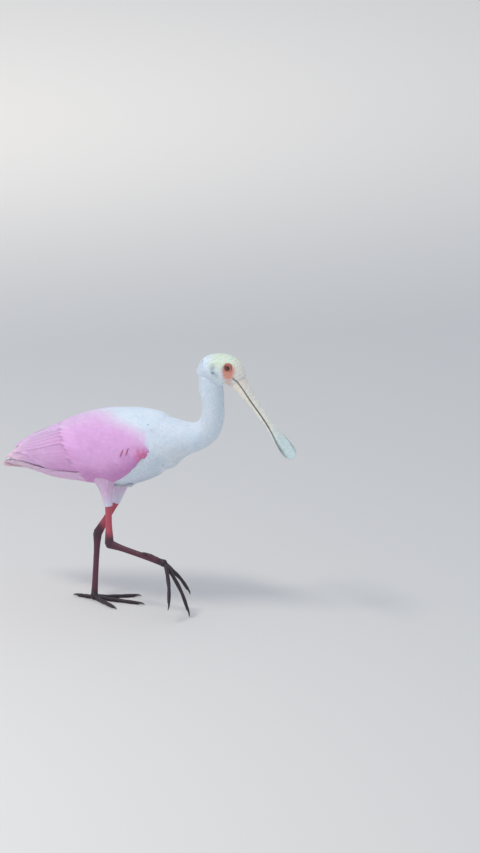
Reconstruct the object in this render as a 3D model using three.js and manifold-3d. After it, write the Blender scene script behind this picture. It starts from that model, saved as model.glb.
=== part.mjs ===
// A life-size roseate spoonbill, wading: one leg stands, the other is lifted forward, bill held low.
// Millimetres. +X is the way the bird faces, +Y is its left, +Z is up.
// The origin is on the floor, under the sole of the standing (left) foot.
import * as THREE from "three";
import { mergeVertices } from "three/addons/utils/BufferGeometryUtils.js";
import Module from "manifold-3d";

const wasm = await Module();
wasm.setup();

// Driving sizes
const GAP = 0.35; // between pieces that touch
const LEFT = 1;
const RIGHT = -1;
const BILL_LENGTH = 150; // from the face to the tip of the spoon
const BILL_PITCH = 50; // degrees below level
const SPOON_HALF_WIDTH = 23;
const MOUTH_SHARE = 0.36; // how far up the upper side of the bill the mouth line lies
const MOUTH_GAP = 0.5;
const BILL_ROOT = [254, 387.9]; // x, z of the middle of the bill where it leaves the face
const EYE_RADIUS = 6.6;
const EYE = [243, 13.6, 413]; // centre of the left eyeball
const LID_RADIUS = 5.6;
const LID_THICKNESS = 2.5;
const EAR = [219, 20.4, 402]; // the left ear opening
const EAR_SIZE = [3.2, 2, 2.2]; // half sizes
const NOSTRIL_SIZE = [5.5, 1, 1.6]; // half sizes: along, across and deep
const SOLE_RADIUS = 5.2;
const SOLE_OFFSET = [1, -0.8]; // from under the ball of the foot
const SOLE_DEPTH = 0.3; // how far the pad goes below the floor before it is cut flat
const SOLE_SIDES = 7;
const TARSUS_HALF = [4, 5.1]; // across, and front to back
const SHANK_HALF = [5, 5.6];
const ANKLE_KNOB = [6.1, 7.2, 7.4]; // half sizes
const FOOT_BALL = 6.2;
const TOE_RADIUS = 3.5;
const TOE_LENGTHS = { middle: 78, inner: 60, outer: 67, hind: 31 };
const TOE_SPREAD = { middle: 2, inner: -34, outer: 37, hind: 172 }; // degrees outward from straight ahead
const CLAW_LENGTH = 10;
const WEB_REACH = 0.34; // share of the toe
const WEB_THICKNESS = 1.3;
const WEB_HEIGHT = 1.6; // of its lower face
const TOE_ROOT_HEIGHT = 5; // of the toes' roots over the sole
const LIFTED_PITCH = 44; // degrees, how far the lifted foot points down
const LIFTED_CURL = 0.25; // share of its length that a lifted toe drops
const TAIL_FEATHERS = 10;
const TAIL_FEATHER_WIDTH = 17;
const VANE_THICKNESS = 0.95;

// Stations of the trunk and neck: x, z, half height, half width
const TRUNK = [
  [-101, 226, 4, 5],
  [-86, 230, 16, 16],
  [-60, 240, 32, 30],
  [-27, 249.5, 47, 43],
  [15, 256, 57.5, 51.5],
  [57, 261, 61.8, 54.5],
  [90, 266.5, 58, 53],
  [118, 273, 47, 45],
  [140, 280, 37, 36],
  [160, 285, 28, 27.5],
  [180, 290, 22.6, 22.3],
  [197, 300, 20.3, 19.8],
  [207, 315, 18.7, 18.2],
  [210.5, 333, 17.8, 17.3],
  [209.5, 355, 18, 17.3],
  [206, 378, 20.5, 18.5],
  [204, 398, 19, 17],
];
// Stations of the head, from the nape to the root of the bill: x, z, half height, half width
const HEAD = [
  [187, 388, 4, 5],
  [193, 394.5, 14, 12.5],
  [206, 402, 22.8, 19],
  [222, 405, 25.4, 21],
  [237, 403.5, 24.6, 20.4],
  [247, 396.5, 21, 17],
  [255, 387, 15, 14],
];
// Outside of the folded plumage, from the shoulder to the wing tips: x, z, half height, half width
const PLUMAGE = [
  [132, 272, 41, 43],
  [112, 271, 54.5, 54],
  [85, 265.6, 62, 61],
  [57, 261, 65, 64],
  [15, 256.3, 62, 63.5],
  [-27, 249.1, 54, 57],
  [-60, 241.5, 45.5, 48],
  [-90, 236, 35.5, 38],
  [-114, 231.5, 27.3, 29.5],
  [-134, 224.5, 20.5, 20],
  [-150, 218.5, 12, 11.5],
  [-160, 213, 5.5, 5],
];

const rad = THREE.MathUtils.degToRad;
const lerp = THREE.MathUtils.lerp;
const clamp = THREE.MathUtils.clamp;
const point = (x, y, z) => new THREE.Vector3(x, y, z);
const smooth = (points) => new THREE.CatmullRomCurve3(points, false, "catmullrom", 0.5);
// A smooth value through evenly placed values, read at t from 0 to 1
const through = (values) => {
  const curve = smooth(values.map((v) => point(v, 0, 0)));
  return (t) => curve.getPoint(t).x;
};

// Solids

// A closed skin over rings of equally many points, with a fan over each end. The far half of each
// ring is split the other way, so that both faces of a thin plate have the same triangles.
function skinOver(rings) {
  const sides = rings[0].length;
  const last = rings.length - 1;
  const points = rings.flat();
  const faces = [];
  for (let i = 0; i < last; i++) {
    for (let j = 0; j < sides; j++) {
      const k = (j + 1) % sides;
      const [a, b, c, d] = [i * sides + j, i * sides + k, (i + 1) * sides + k, (i + 1) * sides + j];
      if (j < sides / 2) faces.push(a, b, c, a, c, d);
      else faces.push(a, b, d, b, c, d);
    }
  }
  for (const [ring, turned] of [[0, true], [last, false]]) {
    const middle = points.length;
    points.push(rings[ring].reduce((sum, p) => sum.add(p), point(0, 0, 0)).divideScalar(sides));
    for (let j = 0; j < sides; j++) {
      const [a, b] = [ring * sides + j, ring * sides + ((j + 1) % sides)];
      faces.push(...(turned ? [middle, b, a] : [middle, a, b]));
    }
  }
  return solidOf(new THREE.BufferGeometry().setFromPoints(points).setIndex(faces));
}

// A closed three.js geometry as a solid with its faces pointing out
function solidOf(geometry) {
  const bare = geometry.clone();
  bare.deleteAttribute("normal");
  bare.deleteAttribute("uv");
  const merged = mergeVertices(bare, 1e-4);
  const corners = [];
  const index = merged.index.array;
  for (let i = 0; i < index.length; i += 3) {
    const [a, b, c] = index.slice(i, i + 3);
    if (a !== b && b !== c && a !== c) corners.push(a, b, c);
  }
  const make = (triVerts) => {
    const vertProperties = merged.attributes.position.array;
    const mesh = new wasm.Mesh({ numProp: 3, vertProperties, triVerts: new Uint32Array(triVerts) });
    return new wasm.Manifold(mesh);
  };
  const solid = make(corners);
  return solid.volume() > 0 ? solid : make(corners.reverse());
}

const join = (solids) => solids.reduce((all, one) => all.add(one));
const without = (solid, cutters) => cutters.reduce((left, cutter) => left.subtract(cutter), solid);

// The largest closed surface of a solid: a sealed hollow is filled and a loose scrap is dropped
const largest = (solid) => solid.decompose().reduce((a, b) => (b.volume() > a.volume() ? b : a));

// The part of a solid on the side of a plane that its normal points to
function beyond(solid, at, normal, gap = GAP / 2) {
  const n = normal.clone().normalize();
  return solid.trimByPlane(n.toArray(), n.dot(at) + gap);
}

function meshOf(name, solid, colour, roughness = 0.6) {
  const { numProp, vertProperties, triVerts } = largest(solid).getMesh();
  const geometry = new THREE.BufferGeometry();
  geometry.setAttribute("position", new THREE.BufferAttribute(vertProperties, numProp));
  geometry.setIndex(new THREE.BufferAttribute(triVerts, 1));
  geometry.computeVertexNormals();
  const material = new THREE.MeshStandardMaterial({ color: colour, roughness, metalness: 0 });
  const mesh = new THREE.Mesh(geometry, material);
  mesh.name = name;
  return mesh;
}

// Rings of ellipses across a curve. half(t) gives the half sizes along side and across it.
function ringsAlong(curve, steps, sides, half, side = point(0, 1, 0), grow = 0) {
  const rings = [];
  for (let i = 0; i <= steps; i++) {
    const t = i / steps;
    const up = curve.getTangent(t).cross(side).normalize();
    const across = up.clone().cross(curve.getTangent(t)).normalize();
    const [w, h] = half(t).map((value) => value + grow);
    const ring = [];
    for (let j = 0; j < sides; j++) {
      const turn = (2 * Math.PI * j) / sides;
      const middle = curve.getPoint(t);
      ring.push(middle.addScaledVector(across, w * Math.cos(turn)).addScaledVector(up, h * Math.sin(turn)));
    }
    rings.push(ring);
  }
  return rings;
}

// A body in the middle plane, from stations of x, z, half height and half width
function bodyThrough(stations, steps, sides, grow = 0) {
  const curve = smooth(stations.map(([x, z]) => point(x, 0, z)));
  const heights = through(stations.map((s) => s[2]));
  const widths = through(stations.map((s) => s[3]));
  return skinOver(ringsAlong(curve, steps, sides, (t) => [widths(t), heights(t)], undefined, grow));
}

// Trunk, neck and head, modelled whole and parted with thin cuts

const billAlong = point(Math.cos(rad(BILL_PITCH)), 0, -Math.sin(rad(BILL_PITCH)));
const billUp = point(Math.sin(rad(BILL_PITCH)), 0, Math.cos(rad(BILL_PITCH)));
const billRoot = point(BILL_ROOT[0], 0, BILL_ROOT[1]);
const CUTS = {
  neckRoot: [point(150, 0, 282), point(1, 0, 0.25)],
  neckMiddle: [point(209, 0, 323), point(0.15, 0, 1)],
  headRoot: [point(206, 0, 378), point(0.3, 0, 1)],
  face: [billRoot, billAlong],
};

const trunk = bodyThrough(TRUNK, 34, 22);
const trunkGrown = bodyThrough(TRUNK, 34, 22, GAP);
const skull = bodyThrough(HEAD, 14, 20);

function parted(solid, from, to) {
  let piece = solid;
  if (from) piece = beyond(piece, ...from);
  if (to) piece = beyond(piece, to[0], to[1].clone().negate());
  return piece;
}

// Bill: two mandibles that close on one plane, thin in the middle and spread into a spoon

const spoonWidths = [SPOON_HALF_WIDTH * 0.9, SPOON_HALF_WIDTH, SPOON_HALF_WIDTH * 0.95];
const billWidth = through([13.5, 12.5, 11.5, 11, 11, 11.5, 15.5, ...spoonWidths]);
const upperHeight = through([14, 12.4, 9.1, 8, 7.8, 6.4, 5.6, 3.7, 2.6, 2]);
const lowerHeight = through([14, 11.5, 9.1, 7.1, 6.8, 5.1, 4.6, 3.7, 2.4, 1.8]);
const SPOON_END = 0.9; // share of the length where the tip starts to round off
const BILL_LAST = 0.995; // share of the length at the last section
const BILL_STEPS = 18;

// The sections of one mandible are points across and up from the middle of the bill
function upperSection(w, high, cut) {
  const low = Math.asin(MOUTH_SHARE);
  const arc = [0, 1, 2, 3, 4, 5, 6].map((j) => {
    const turn = lerp(low, Math.PI - low, j / 6);
    const rise = (Math.sin(turn) - MOUTH_SHARE) / (1 - MOUTH_SHARE);
    return [w * Math.cos(turn), lerp(cut + MOUTH_GAP, high, rise)];
  });
  const flat = [-1, -0.5, 0, 0.5, 1].map((share) => [share * w * Math.cos(low), cut + MOUTH_GAP / 2]);
  return [...arc, ...flat];
}

function lowerSection(w, low, cut) {
  const edge = w * Math.cos(Math.asin(MOUTH_SHARE));
  const arc = [0, 1, 2, 3, 4, 5, 6].map((j) => {
    const turn = (Math.PI * j) / 6;
    return [w * Math.cos(turn), -low * Math.sin(turn)];
  });
  const flat = [-1, -0.5, 0, 0.5, 1].map((share) => [share * edge, cut - MOUTH_GAP / 2]);
  return [...arc, ...flat];
}

function mandible(upper) {
  const rings = [];
  for (let i = 0; i <= BILL_STEPS; i++) {
    const t = (BILL_LAST * i) / BILL_STEPS;
    const round = t > SPOON_END ? Math.sqrt(1 - ((t - SPOON_END) / (1 - SPOON_END)) ** 2) : 1;
    const thin = lerp(0.55, 1, round);
    const high = upperHeight(t) * thin;
    const [w, cut] = [billWidth(t) * round, high * MOUTH_SHARE];
    const ring = upper ? upperSection(w, high, cut) : lowerSection(w, lowerHeight(t) * thin, cut);
    const centre = billRoot.clone().addScaledVector(billAlong, t * BILL_LENGTH);
    rings.push(ring.map(([y, n]) => centre.clone().add(point(0, y, 0)).addScaledVector(billUp, n)));
  }
  return skinOver(rings);
}

function nostril(side) {
  const pit = new THREE.SphereGeometry(1, 8, 6);
  pit.scale(...NOSTRIL_SIZE);
  pit.rotateY(rad(BILL_PITCH));
  const at = billRoot.clone().addScaledVector(billAlong, 14).addScaledVector(billUp, 10.8);
  return solidOf(pit.translate(at.x, side * 5.4, at.z));
}

// Eyes with raised lids, and the small ear openings

function eyeBall(side, grow = 0) {
  const ball = new THREE.SphereGeometry(EYE_RADIUS + grow, 12, 8);
  return solidOf(ball.translate(EYE[0], side * EYE[1], EYE[2]));
}

function lid(side) {
  const ring = new THREE.TorusGeometry(LID_RADIUS, LID_THICKNESS / 2, 5, 12);
  ring.scale(1.08, 0.92, 1);
  ring.rotateX(rad(-90 - side * 6));
  return solidOf(ring.translate(EYE[0], side * (EYE[1] + 4.1), EYE[2]));
}

function earHole(side) {
  const pit = new THREE.SphereGeometry(1, 8, 6);
  pit.scale(...EAR_SIZE);
  return solidOf(pit.translate(EAR[0], side * EAR[1], EAR[2]));
}

function head() {
  const whole = join([skull, parted(trunk, CUTS.headRoot, null), lid(LEFT), lid(RIGHT)]);
  const parts = parted(whole, CUTS.headRoot, CUTS.face);
  return without(parts, [LEFT, RIGHT].flatMap((side) => [eyeBall(side, GAP), earHole(side)]));
}

// Plumage: places on the folded coat are given by x, the angle round the body and a depth

const plumageCurve = (column) => {
  const curve = smooth(PLUMAGE.map((s) => point(s[0], 0, s[column])));
  return (x) => {
    let [low, high] = [0, 1];
    for (let i = 0; i < 24; i++) {
      const middle = (low + high) / 2;
      if (curve.getPoint(middle).x > x) low = middle;
      else high = middle;
    }
    return curve.getPoint(low).z;
  };
};
const coatMiddle = plumageCurve(1);
const coatHeight = plumageCurve(2);
const coatWidth = plumageCurve(3);

// A place on the coat: angle 0 is the flank, 90 the midline of the back
function onCoat(side, x, angle, lift) {
  const [c, s] = [Math.cos(rad(angle)), Math.sin(rad(angle))];
  const [w, h] = [coatWidth(x), coatHeight(x)];
  const out = Math.hypot(c / w, s / h);
  return point(x, side * (w * c + (lift * c) / w / out), coatMiddle(x) + h * s + (lift * s) / h / out);
}

// How fast a place moves, in mm a degree, as its angle grows
const arcSpeed = (x, angle) =>
  rad(1) * Math.hypot(coatWidth(x) * Math.sin(rad(angle)), coatHeight(x) * Math.cos(rad(angle)));

const WING_FRONT = 121;
const WING_TIP = -152;
const PAD_BACK = -62;
const PAD_ROWS = 9;
const PAD_COLUMNS = 8;
const BED_REACH = 9; // how far the bed's cutter stands out of the coat
const MIDLINE_CLEAR = 0.8; // between each wing and the middle plane
const lowerEdge = through([-2, -28, -46, -53, -54, -52, -50, -42, -26]); // degrees, shoulder to tip
const upperEdge = through([20, 40, 51, 62, 74, 83, 84, 78, 52]);
const padDepth = through([9, 13, 14, 14, 13.5, 12]);
const padTop = through([2.6, 3.8, 4.8, 5.6, 6.4, 8]);

// A place on the folded wing: share 0 is its lower edge and 1 its upper edge
const wingAngle = (x, share) => {
  const t = clamp((WING_FRONT - x) / (WING_FRONT - WING_TIP), 0, 1);
  return lerp(lowerEdge(t), upperEdge(t), share);
};

// The arm and the shafts under the coverts: a curved pad that lies on the flank
function wingPad(side) {
  const rings = [];
  for (let i = 0; i <= PAD_ROWS; i++) {
    const t = i / PAD_ROWS;
    const x = lerp(WING_FRONT, PAD_BACK, t);
    const angles = Array.from({ length: PAD_COLUMNS + 1 }, (_, j) => wingAngle(x, j / PAD_COLUMNS));
    const outer = angles.map((angle) => onCoat(side, x, angle, -padTop(t)));
    const inner = angles.map((angle) => onCoat(side, x, angle, -padDepth(t)));
    rings.push([...outer, ...inner.reverse()]);
  }
  return skinOver(rings);
}

// The room that the folded wing takes out of the trunk: everything over the pad's own bed
function wingBed(side, grow) {
  const rings = [];
  for (let i = 0; i <= PAD_ROWS; i++) {
    const t = i / PAD_ROWS;
    const x = lerp(WING_FRONT + grow, PAD_BACK - grow, t);
    const margin = grow / arcSpeed(x, 0);
    const angles = Array.from({ length: PAD_COLUMNS + 1 }, (_, j) =>
      wingAngle(x, j / PAD_COLUMNS) + margin * ((j === PAD_COLUMNS) - (j === 0)));
    const outer = angles.map((angle) => onCoat(side, x, angle, BED_REACH));
    const inner = angles.map((angle) => onCoat(side, x, angle, -padDepth(t) - grow));
    rings.push([...outer, ...inner.reverse()]);
  }
  return skinOver(rings);
}

// One feather: a thin curved plate. Each end is [x, share across the wing, lift].
function vane(side, root, tip, halfWidth, tilt, bow) {
  const shares = [0, 0.35, 0.7, 0.92, 1];
  const fullness = [0.6, 1, 1, 0.7, 0.25];
  const rings = shares.map((t, i) => {
    const [x, share, lift] = root.map((value, k) => lerp(value, tip[k], t));
    const middle = wingAngle(x, share + bow * Math.sin(Math.PI * t));
    const spread = (halfWidth * fullness[i]) / arcSpeed(x, middle);
    const half = (VANE_THICKNESS / 2) * lerp(1, 0.65, t);
    const at = (step, up) =>
      onCoat(side, x, middle + step * spread, lift - step * tilt * fullness[i] + up * half);
    return [at(1, 1), at(-1, 1), at(-1, -1), at(1, -1)];
  });
  return skinOver(rings);
}

// Tiers of the folded wing, deepest first. Each goes from its lowest feather to its highest one,
// and each feather lies over the one below it. Ends are [x, share across the wing, lift].
const TIERS = [
  {
    count: 4, // primaries
    roots: [[-34, 0.3, -10], [-34, 0.52, -10]],
    tips: [[-132, 0.1, -4.6], [-156, 0.62, -4.2]],
    half: 6,
    bow: 0,
  },
  {
    count: 6, // secondaries
    roots: [[52, 0.03, -8], [0, 0.6, -8]],
    tips: [[-52, 0.05, -1.6], [-138, 0.5, -1.4]],
    half: 9,
    bow: -0.02,
  },
  {
    count: 3, // tertials
    roots: [[0, 0.7, -8], [0, 0.9, -8]],
    tips: [[-134, 0.68, -0.9], [-116, 0.88, -0.6]],
    half: 11,
    bow: 0,
  },
  {
    count: 6, // greater coverts
    roots: [[86, 0.06, -7.5], [46, 0.9, -7.5]],
    tips: [[14, 0.06, -0.4], [-42, 0.91, 0]],
    half: 11,
    bow: 0,
  },
  {
    count: 4, // median coverts
    roots: [[112, 0.16, -5.5], [92, 0.88, -6]],
    tips: [[60, 0.09, 0.8], [26, 0.9, 0.8]],
    half: 13,
    bow: 0,
  },
];
const TILT = 1.5; // mm, how much higher each feather's lower edge is than its middle
const UNEVEN = 2.5; // mm, feathers of a tier are not all of one length

function wing(side) {
  const feathers = TIERS.flatMap(({ count, roots, tips, half, bow }) =>
    Array.from({ length: count }, (_, k) => {
      const step = k / (count - 1);
      const end = (pair) => pair[0].map((value, i) => lerp(value, pair[1][i], step));
      const reach = UNEVEN * Math.sin(2.4 * k);
      const tip = end(tips);
      return vane(side, end(roots), [tip[0] + reach, tip[1], tip[2]], half, TILT, bow);
    }),
  );
  return beyond(join([wingPad(side), ...feathers]), point(0, 0, 0), point(0, side, 0), MIDLINE_CLEAR);
}

// Tail: a closed fan of long feathers, the middle pair on top

const TAIL_ROOT = point(-78, 0, 225.5);
const TAIL_TIP = point(-161, 0, 210.5);
const TAIL_STEP = 1.2; // each feather lies this far under the one nearer the middle

function tailFeather(side, rank) {
  const shares = [0, 0.35, 0.7, 0.9, 1];
  const fullness = [0.55, 0.9, 1, 0.82, 0.3];
  const rings = shares.map((t, i) => {
    const at = (step, up) => {
      const y = side * (1.2 + lerp(1.1, 2.7, t) * rank) + step * fullness[i] * TAIL_FEATHER_WIDTH * 0.5;
      const sag = -2 * Math.sin(Math.PI * t) - 0.004 * y * y;
      const place = TAIL_ROOT.clone().lerp(TAIL_TIP, t * (1 - 0.012 * rank));
      const under = TAIL_STEP * (rank + (side < 0) * 0.5);
      return place.add(point(0, y, sag - under + up * VANE_THICKNESS * 0.36));
    };
    return [at(1, 1), at(-1, 1), at(-1, -1), at(1, -1)];
  });
  return skinOver(rings);
}

function tail() {
  const ranks = Array.from({ length: TAIL_FEATHERS / 2 }, (_, rank) => rank);
  const feathers = [LEFT, RIGHT].flatMap((side) => ranks.map((rank) => tailFeather(side, rank)));
  const curve = smooth([point(-74, 0, 223), point(-96, 0, 219), point(-116, 0, 214.5)]);
  const heights = through([8, 7.5, 4.5, 2]);
  const widths = through([9, 12, 12, 7]);
  return join([skinOver(ringsAlong(curve, 6, 12, (t) => [widths(t), heights(t)])), ...feathers]);
}

// Legs

const LEGS = {
  left: {
    side: LEFT,
    standing: true,
    hip: [46, 33, 226],
    knee: [24.5, 29, 156],
    ankle: [-4, 21, 104],
    foot: [0, 0, 6],
  },
  right: {
    side: RIGHT,
    standing: false,
    hip: [34, -32, 226],
    knee: [41, -32, 167],
    ankle: [42.5, -32, 105],
    foot: [137, -30, 84],
  },
};

// The feathered thigh, a cone that narrows onto the bare shank
function thigh({ hip, knee }, grow = 0) {
  const curve = smooth([point(...hip), point(...hip).lerp(point(...knee), 0.5), point(...knee)]);
  const half = through([27, 20, 12.5, 9, 6.8]);
  const wide = through([21, 16, 11, 8.4, 6.3]);
  return skinOver(ringsAlong(curve, 8, 14, (t) => [wide(t), half(t)], undefined, grow));
}

function shank({ knee, ankle }) {
  const curve = smooth([point(...knee), point(...knee).lerp(point(...ankle), 0.5), point(...ankle)]);
  const swell = through([1, 0.95, 0.95, 1.15, 1.35]);
  return skinOver(ringsAlong(curve, 6, 10, (t) => SHANK_HALF.map((v) => v * swell(t))));
}

// The tarsus, with the knob of the ankle at its top and the ball of the foot at its end. The
// standing foot, which is over the origin, has a flat pad under it.
function tarsus({ ankle, foot, standing }, grow = 0) {
  const curve = smooth([point(...ankle), point(...ankle).lerp(point(...foot), 0.5), point(...foot)]);
  const swell = through([1.5, 1.05, 0.95, 0.95, 1.0, 1.15]);
  const half = (t) => TARSUS_HALF.map((v) => v * swell(t));
  const bone = skinOver(ringsAlong(curve, 7, 10, half, undefined, grow));
  const knob = new THREE.SphereGeometry(1, 10, 6);
  knob.scale(...ANKLE_KNOB.map((v) => v + grow));
  const ball = new THREE.SphereGeometry(FOOT_BALL + grow, 10, 6);
  const solids = [bone, solidOf(knob.translate(...ankle)), solidOf(ball.translate(...foot))];
  if (!standing) return join(solids);
  const round = SOLE_RADIUS + grow;
  const pad = new THREE.CylinderGeometry(round, round, foot[2] + grow, SOLE_SIDES);
  pad.rotateX(rad(90)).translate(SOLE_OFFSET[0], SOLE_OFFSET[1], foot[2] / 2 - SOLE_DEPTH);
  return join([...solids, solidOf(pad)]);
}

// One toe along the floor, or curled down from a lifted foot. place puts the foot in the world.
function toe(name, side, curl, place, grow = 0) {
  const turn = rad(TOE_SPREAD[name] * side);
  const long = TOE_LENGTHS[name];
  const at = (share, height) =>
    point(Math.cos(turn) * share * long, Math.sin(turn) * share * long, height - curl * share ** 2 * long);
  const curve = smooth([at(0, 5.5), at(0.3, 3.1), at(0.65, 2.7), at(1, 2.2)]);
  const taper = through([1, 1.04, 0.9, 0.98, 0.8, 0.88, 0.7]);
  const across = point(-Math.sin(turn), Math.cos(turn), 0);
  const half = (t) => [TOE_RADIUS * taper(t), TOE_RADIUS * taper(t) * 0.95];
  const rings = ringsAlong(curve, 9, 8, half, across, grow);
  return skinOver(rings.map((ring) => ring.map((p) => p.applyMatrix4(place))));
}

function claw(name, side, curl, place) {
  const turn = rad(TOE_SPREAD[name] * side);
  const long = TOE_LENGTHS[name];
  const at = (beyondTip, height) => {
    const r = long + beyondTip;
    return point(Math.cos(turn) * r, Math.sin(turn) * r, height - curl * (r / long) ** 2 * long);
  };
  const curve = smooth([at(-2, 2.7), at(CLAW_LENGTH * 0.5, 2.6), at(CLAW_LENGTH, 0.9)]);
  const across = point(-Math.sin(turn), Math.cos(turn), 0);
  const rings = ringsAlong(curve, 3, 6, (t) => [lerp(1.9, 0.45, t), lerp(2, 0.4, t)], across);
  return skinOver(rings.map((ring) => ring.map((p) => p.applyMatrix4(place))));
}

// The small web at the root of two front toes
function web(name, side, place) {
  const [from, to] = [TOE_SPREAD.middle, TOE_SPREAD[name]].map((angle) => rad(angle * side));
  const reach = WEB_REACH * TOE_LENGTHS[name];
  const at = (angle, r) => [Math.cos(angle) * r, Math.sin(angle) * r];
  const shape = new THREE.Shape([new THREE.Vector2(2, 0), new THREE.Vector2(...at(from, reach))]);
  shape.quadraticCurveTo(...at((from + to) / 2, reach * 0.42), ...at(to, reach));
  const settings = { depth: WEB_THICKNESS, bevelEnabled: false, curveSegments: 4 };
  const sheet = new THREE.ExtrudeGeometry(shape, settings);
  return solidOf(sheet.translate(0, 0, WEB_HEIGHT).applyMatrix4(place));
}

const NAMES = ["middle", "inner", "outer", "hind"];
const FLOOR = [point(0, 0, 0), point(0, 0, 1), 0];

function footOf(leg, label, curl, place) {
  const { side, standing } = leg;
  const shin = tarsus(leg, GAP);
  const meshes = [];
  const done = [];
  for (const name of NAMES) {
    let solid = toe(name, side, curl, place);
    if (name === "middle") {
      const webs = ["inner", "outer"].map((next) =>
        without(web(next, side, place), [toe(next, side, curl, place, GAP)]),
      );
      solid = join([solid, ...webs]);
    }
    solid = without(solid, [shin, ...done]);
    done.push(toe(name, side, curl, place, GAP));
    let nail = without(claw(name, side, curl, place), [done.at(-1)]);
    if (standing) [solid, nail] = [beyond(solid, ...FLOOR), beyond(nail, ...FLOOR)];
    meshes.push(meshOf(`toe_${label}_${name}`, solid, "#2d262b", 0.55));
    meshes.push(meshOf(`claw_${label}_${name}`, nail, "#1b1719", 0.35));
  }
  return meshes;
}

// The whole bird

const bird = new THREE.Group();
const wings = { left: wing(LEFT), right: wing(RIGHT) };
const beds = (grow) => [LEFT, RIGHT].map((side) => wingBed(side, grow));
const torso = parted(without(trunk, beds(3 * GAP)), null, CUTS.neckRoot);
const trunkBedded = without(trunkGrown, beds(GAP));
bird.add(meshOf("torso", torso, "#eef0f4", 0.8));
bird.add(meshOf("neck_lower", parted(trunk, CUTS.neckRoot, CUTS.neckMiddle), "#eef3f6", 0.8));
bird.add(meshOf("neck_upper", parted(trunk, CUTS.neckMiddle, CUTS.headRoot), "#eef3f6", 0.8));
bird.add(meshOf("head", head(), "#dfe6cf", 0.6));
const upper = without(mandible(true), [nostril(LEFT), nostril(RIGHT)]);
bird.add(meshOf("bill_upper", beyond(upper, ...CUTS.face), "#cfd6c8", 0.5));
bird.add(meshOf("bill_lower", beyond(mandible(false), ...CUTS.face), "#d8dbc9", 0.5));
bird.add(meshOf("tail", without(tail(), [trunkGrown]), "#e9b9a2", 0.75));

for (const [label, leg] of Object.entries(LEGS)) {
  const { side, standing } = leg;
  bird.add(meshOf(`eye_${label}`, eyeBall(side), "#b3202c", 0.1));
  const thighOutside = without(thigh(leg, GAP), [wingBed(side, 2 * GAP)]);
  const folded = without(wings[label], [trunkBedded, thighOutside]);
  bird.add(meshOf(`wing_${label}`, folded, "#e79fc9", 0.8));
  const place = new THREE.Matrix4();
  if (!standing) {
    place.makeRotationY(rad(LIFTED_PITCH));
    place.setPosition(leg.foot[0], leg.foot[1], leg.foot[2] - TOE_ROOT_HEIGHT);
  }
  const [hip, knee, ankle] = [leg.hip, leg.knee, leg.ankle].map((p) => point(...p));
  const down = ankle.clone().sub(knee).normalize();
  const bare = beyond(without(shank(leg), [tarsus(leg, GAP)]), knee, down);
  const feathered = without(thigh(leg), [trunkBedded, wingBed(side, 3 * GAP)]);
  const below = beyond(feathered, knee, down.clone().negate());
  bird.add(meshOf(`thigh_${label}`, below, "#ecc3dc", 0.8));
  bird.add(meshOf(`shank_${label}`, bare, "#c2364f", 0.5));
  const bone = tarsus(leg);
  bird.add(meshOf(`tarsus_${label}`, standing ? beyond(bone, ...FLOOR) : bone, "#5a2c3f", 0.5));
  bird.add(...footOf(leg, label, standing ? 0 : LIFTED_CURL, place));
}

export default bird;
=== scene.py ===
"""The looks of a life-size, still model of a roseate spoonbill that walks on its left leg.

Lengths in the formulas are millimetres in the CAD model's frame: the bird faces +X, its left is +Y.
"""
import math

import bpy
import numpy as np
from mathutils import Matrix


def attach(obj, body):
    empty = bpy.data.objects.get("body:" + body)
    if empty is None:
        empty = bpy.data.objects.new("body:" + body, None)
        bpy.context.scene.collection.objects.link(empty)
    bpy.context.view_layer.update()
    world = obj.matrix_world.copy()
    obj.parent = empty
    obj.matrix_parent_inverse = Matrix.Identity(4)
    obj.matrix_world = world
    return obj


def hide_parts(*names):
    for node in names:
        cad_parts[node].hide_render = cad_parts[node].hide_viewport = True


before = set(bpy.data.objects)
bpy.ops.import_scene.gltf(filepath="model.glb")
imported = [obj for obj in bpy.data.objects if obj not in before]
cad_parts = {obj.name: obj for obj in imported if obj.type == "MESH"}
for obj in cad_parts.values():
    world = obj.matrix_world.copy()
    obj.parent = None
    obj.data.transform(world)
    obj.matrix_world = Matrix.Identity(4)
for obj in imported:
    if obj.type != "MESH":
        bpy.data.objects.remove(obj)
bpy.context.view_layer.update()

MM = 0.001
LEFT, RIGHT = 1, -1
SIDES = ((LEFT, "left"), (RIGHT, "right"))
rng = np.random.default_rng(20)

# Stations of the trunk and neck: x, z, half height, half width
TRUNK = np.array([
    [-101, 226, 4, 5], [-86, 230, 16, 16], [-60, 240, 32, 30], [-27, 249.5, 47, 43],
    [15, 256, 57.5, 51.5], [57, 261, 61.8, 54.5], [90, 266.5, 58, 53], [118, 273, 47, 45],
    [140, 280, 37, 36], [160, 285, 28, 27.5], [180, 290, 22.6, 22.3], [197, 300, 20.3, 19.8],
    [207, 315, 18.7, 18.2], [210.5, 333, 17.8, 17.3], [209.5, 355, 18, 17.3],
    [206, 378, 20.5, 18.5], [204, 398, 19, 17]], float)
HEAD = np.array([
    [187, 388, 4, 5], [193, 394.5, 14, 12.5], [206, 402, 22.8, 19], [222, 405, 25.4, 21],
    [237, 403.5, 24.6, 20.4], [247, 396.5, 21, 17], [255, 387, 15, 14]], float)
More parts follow.
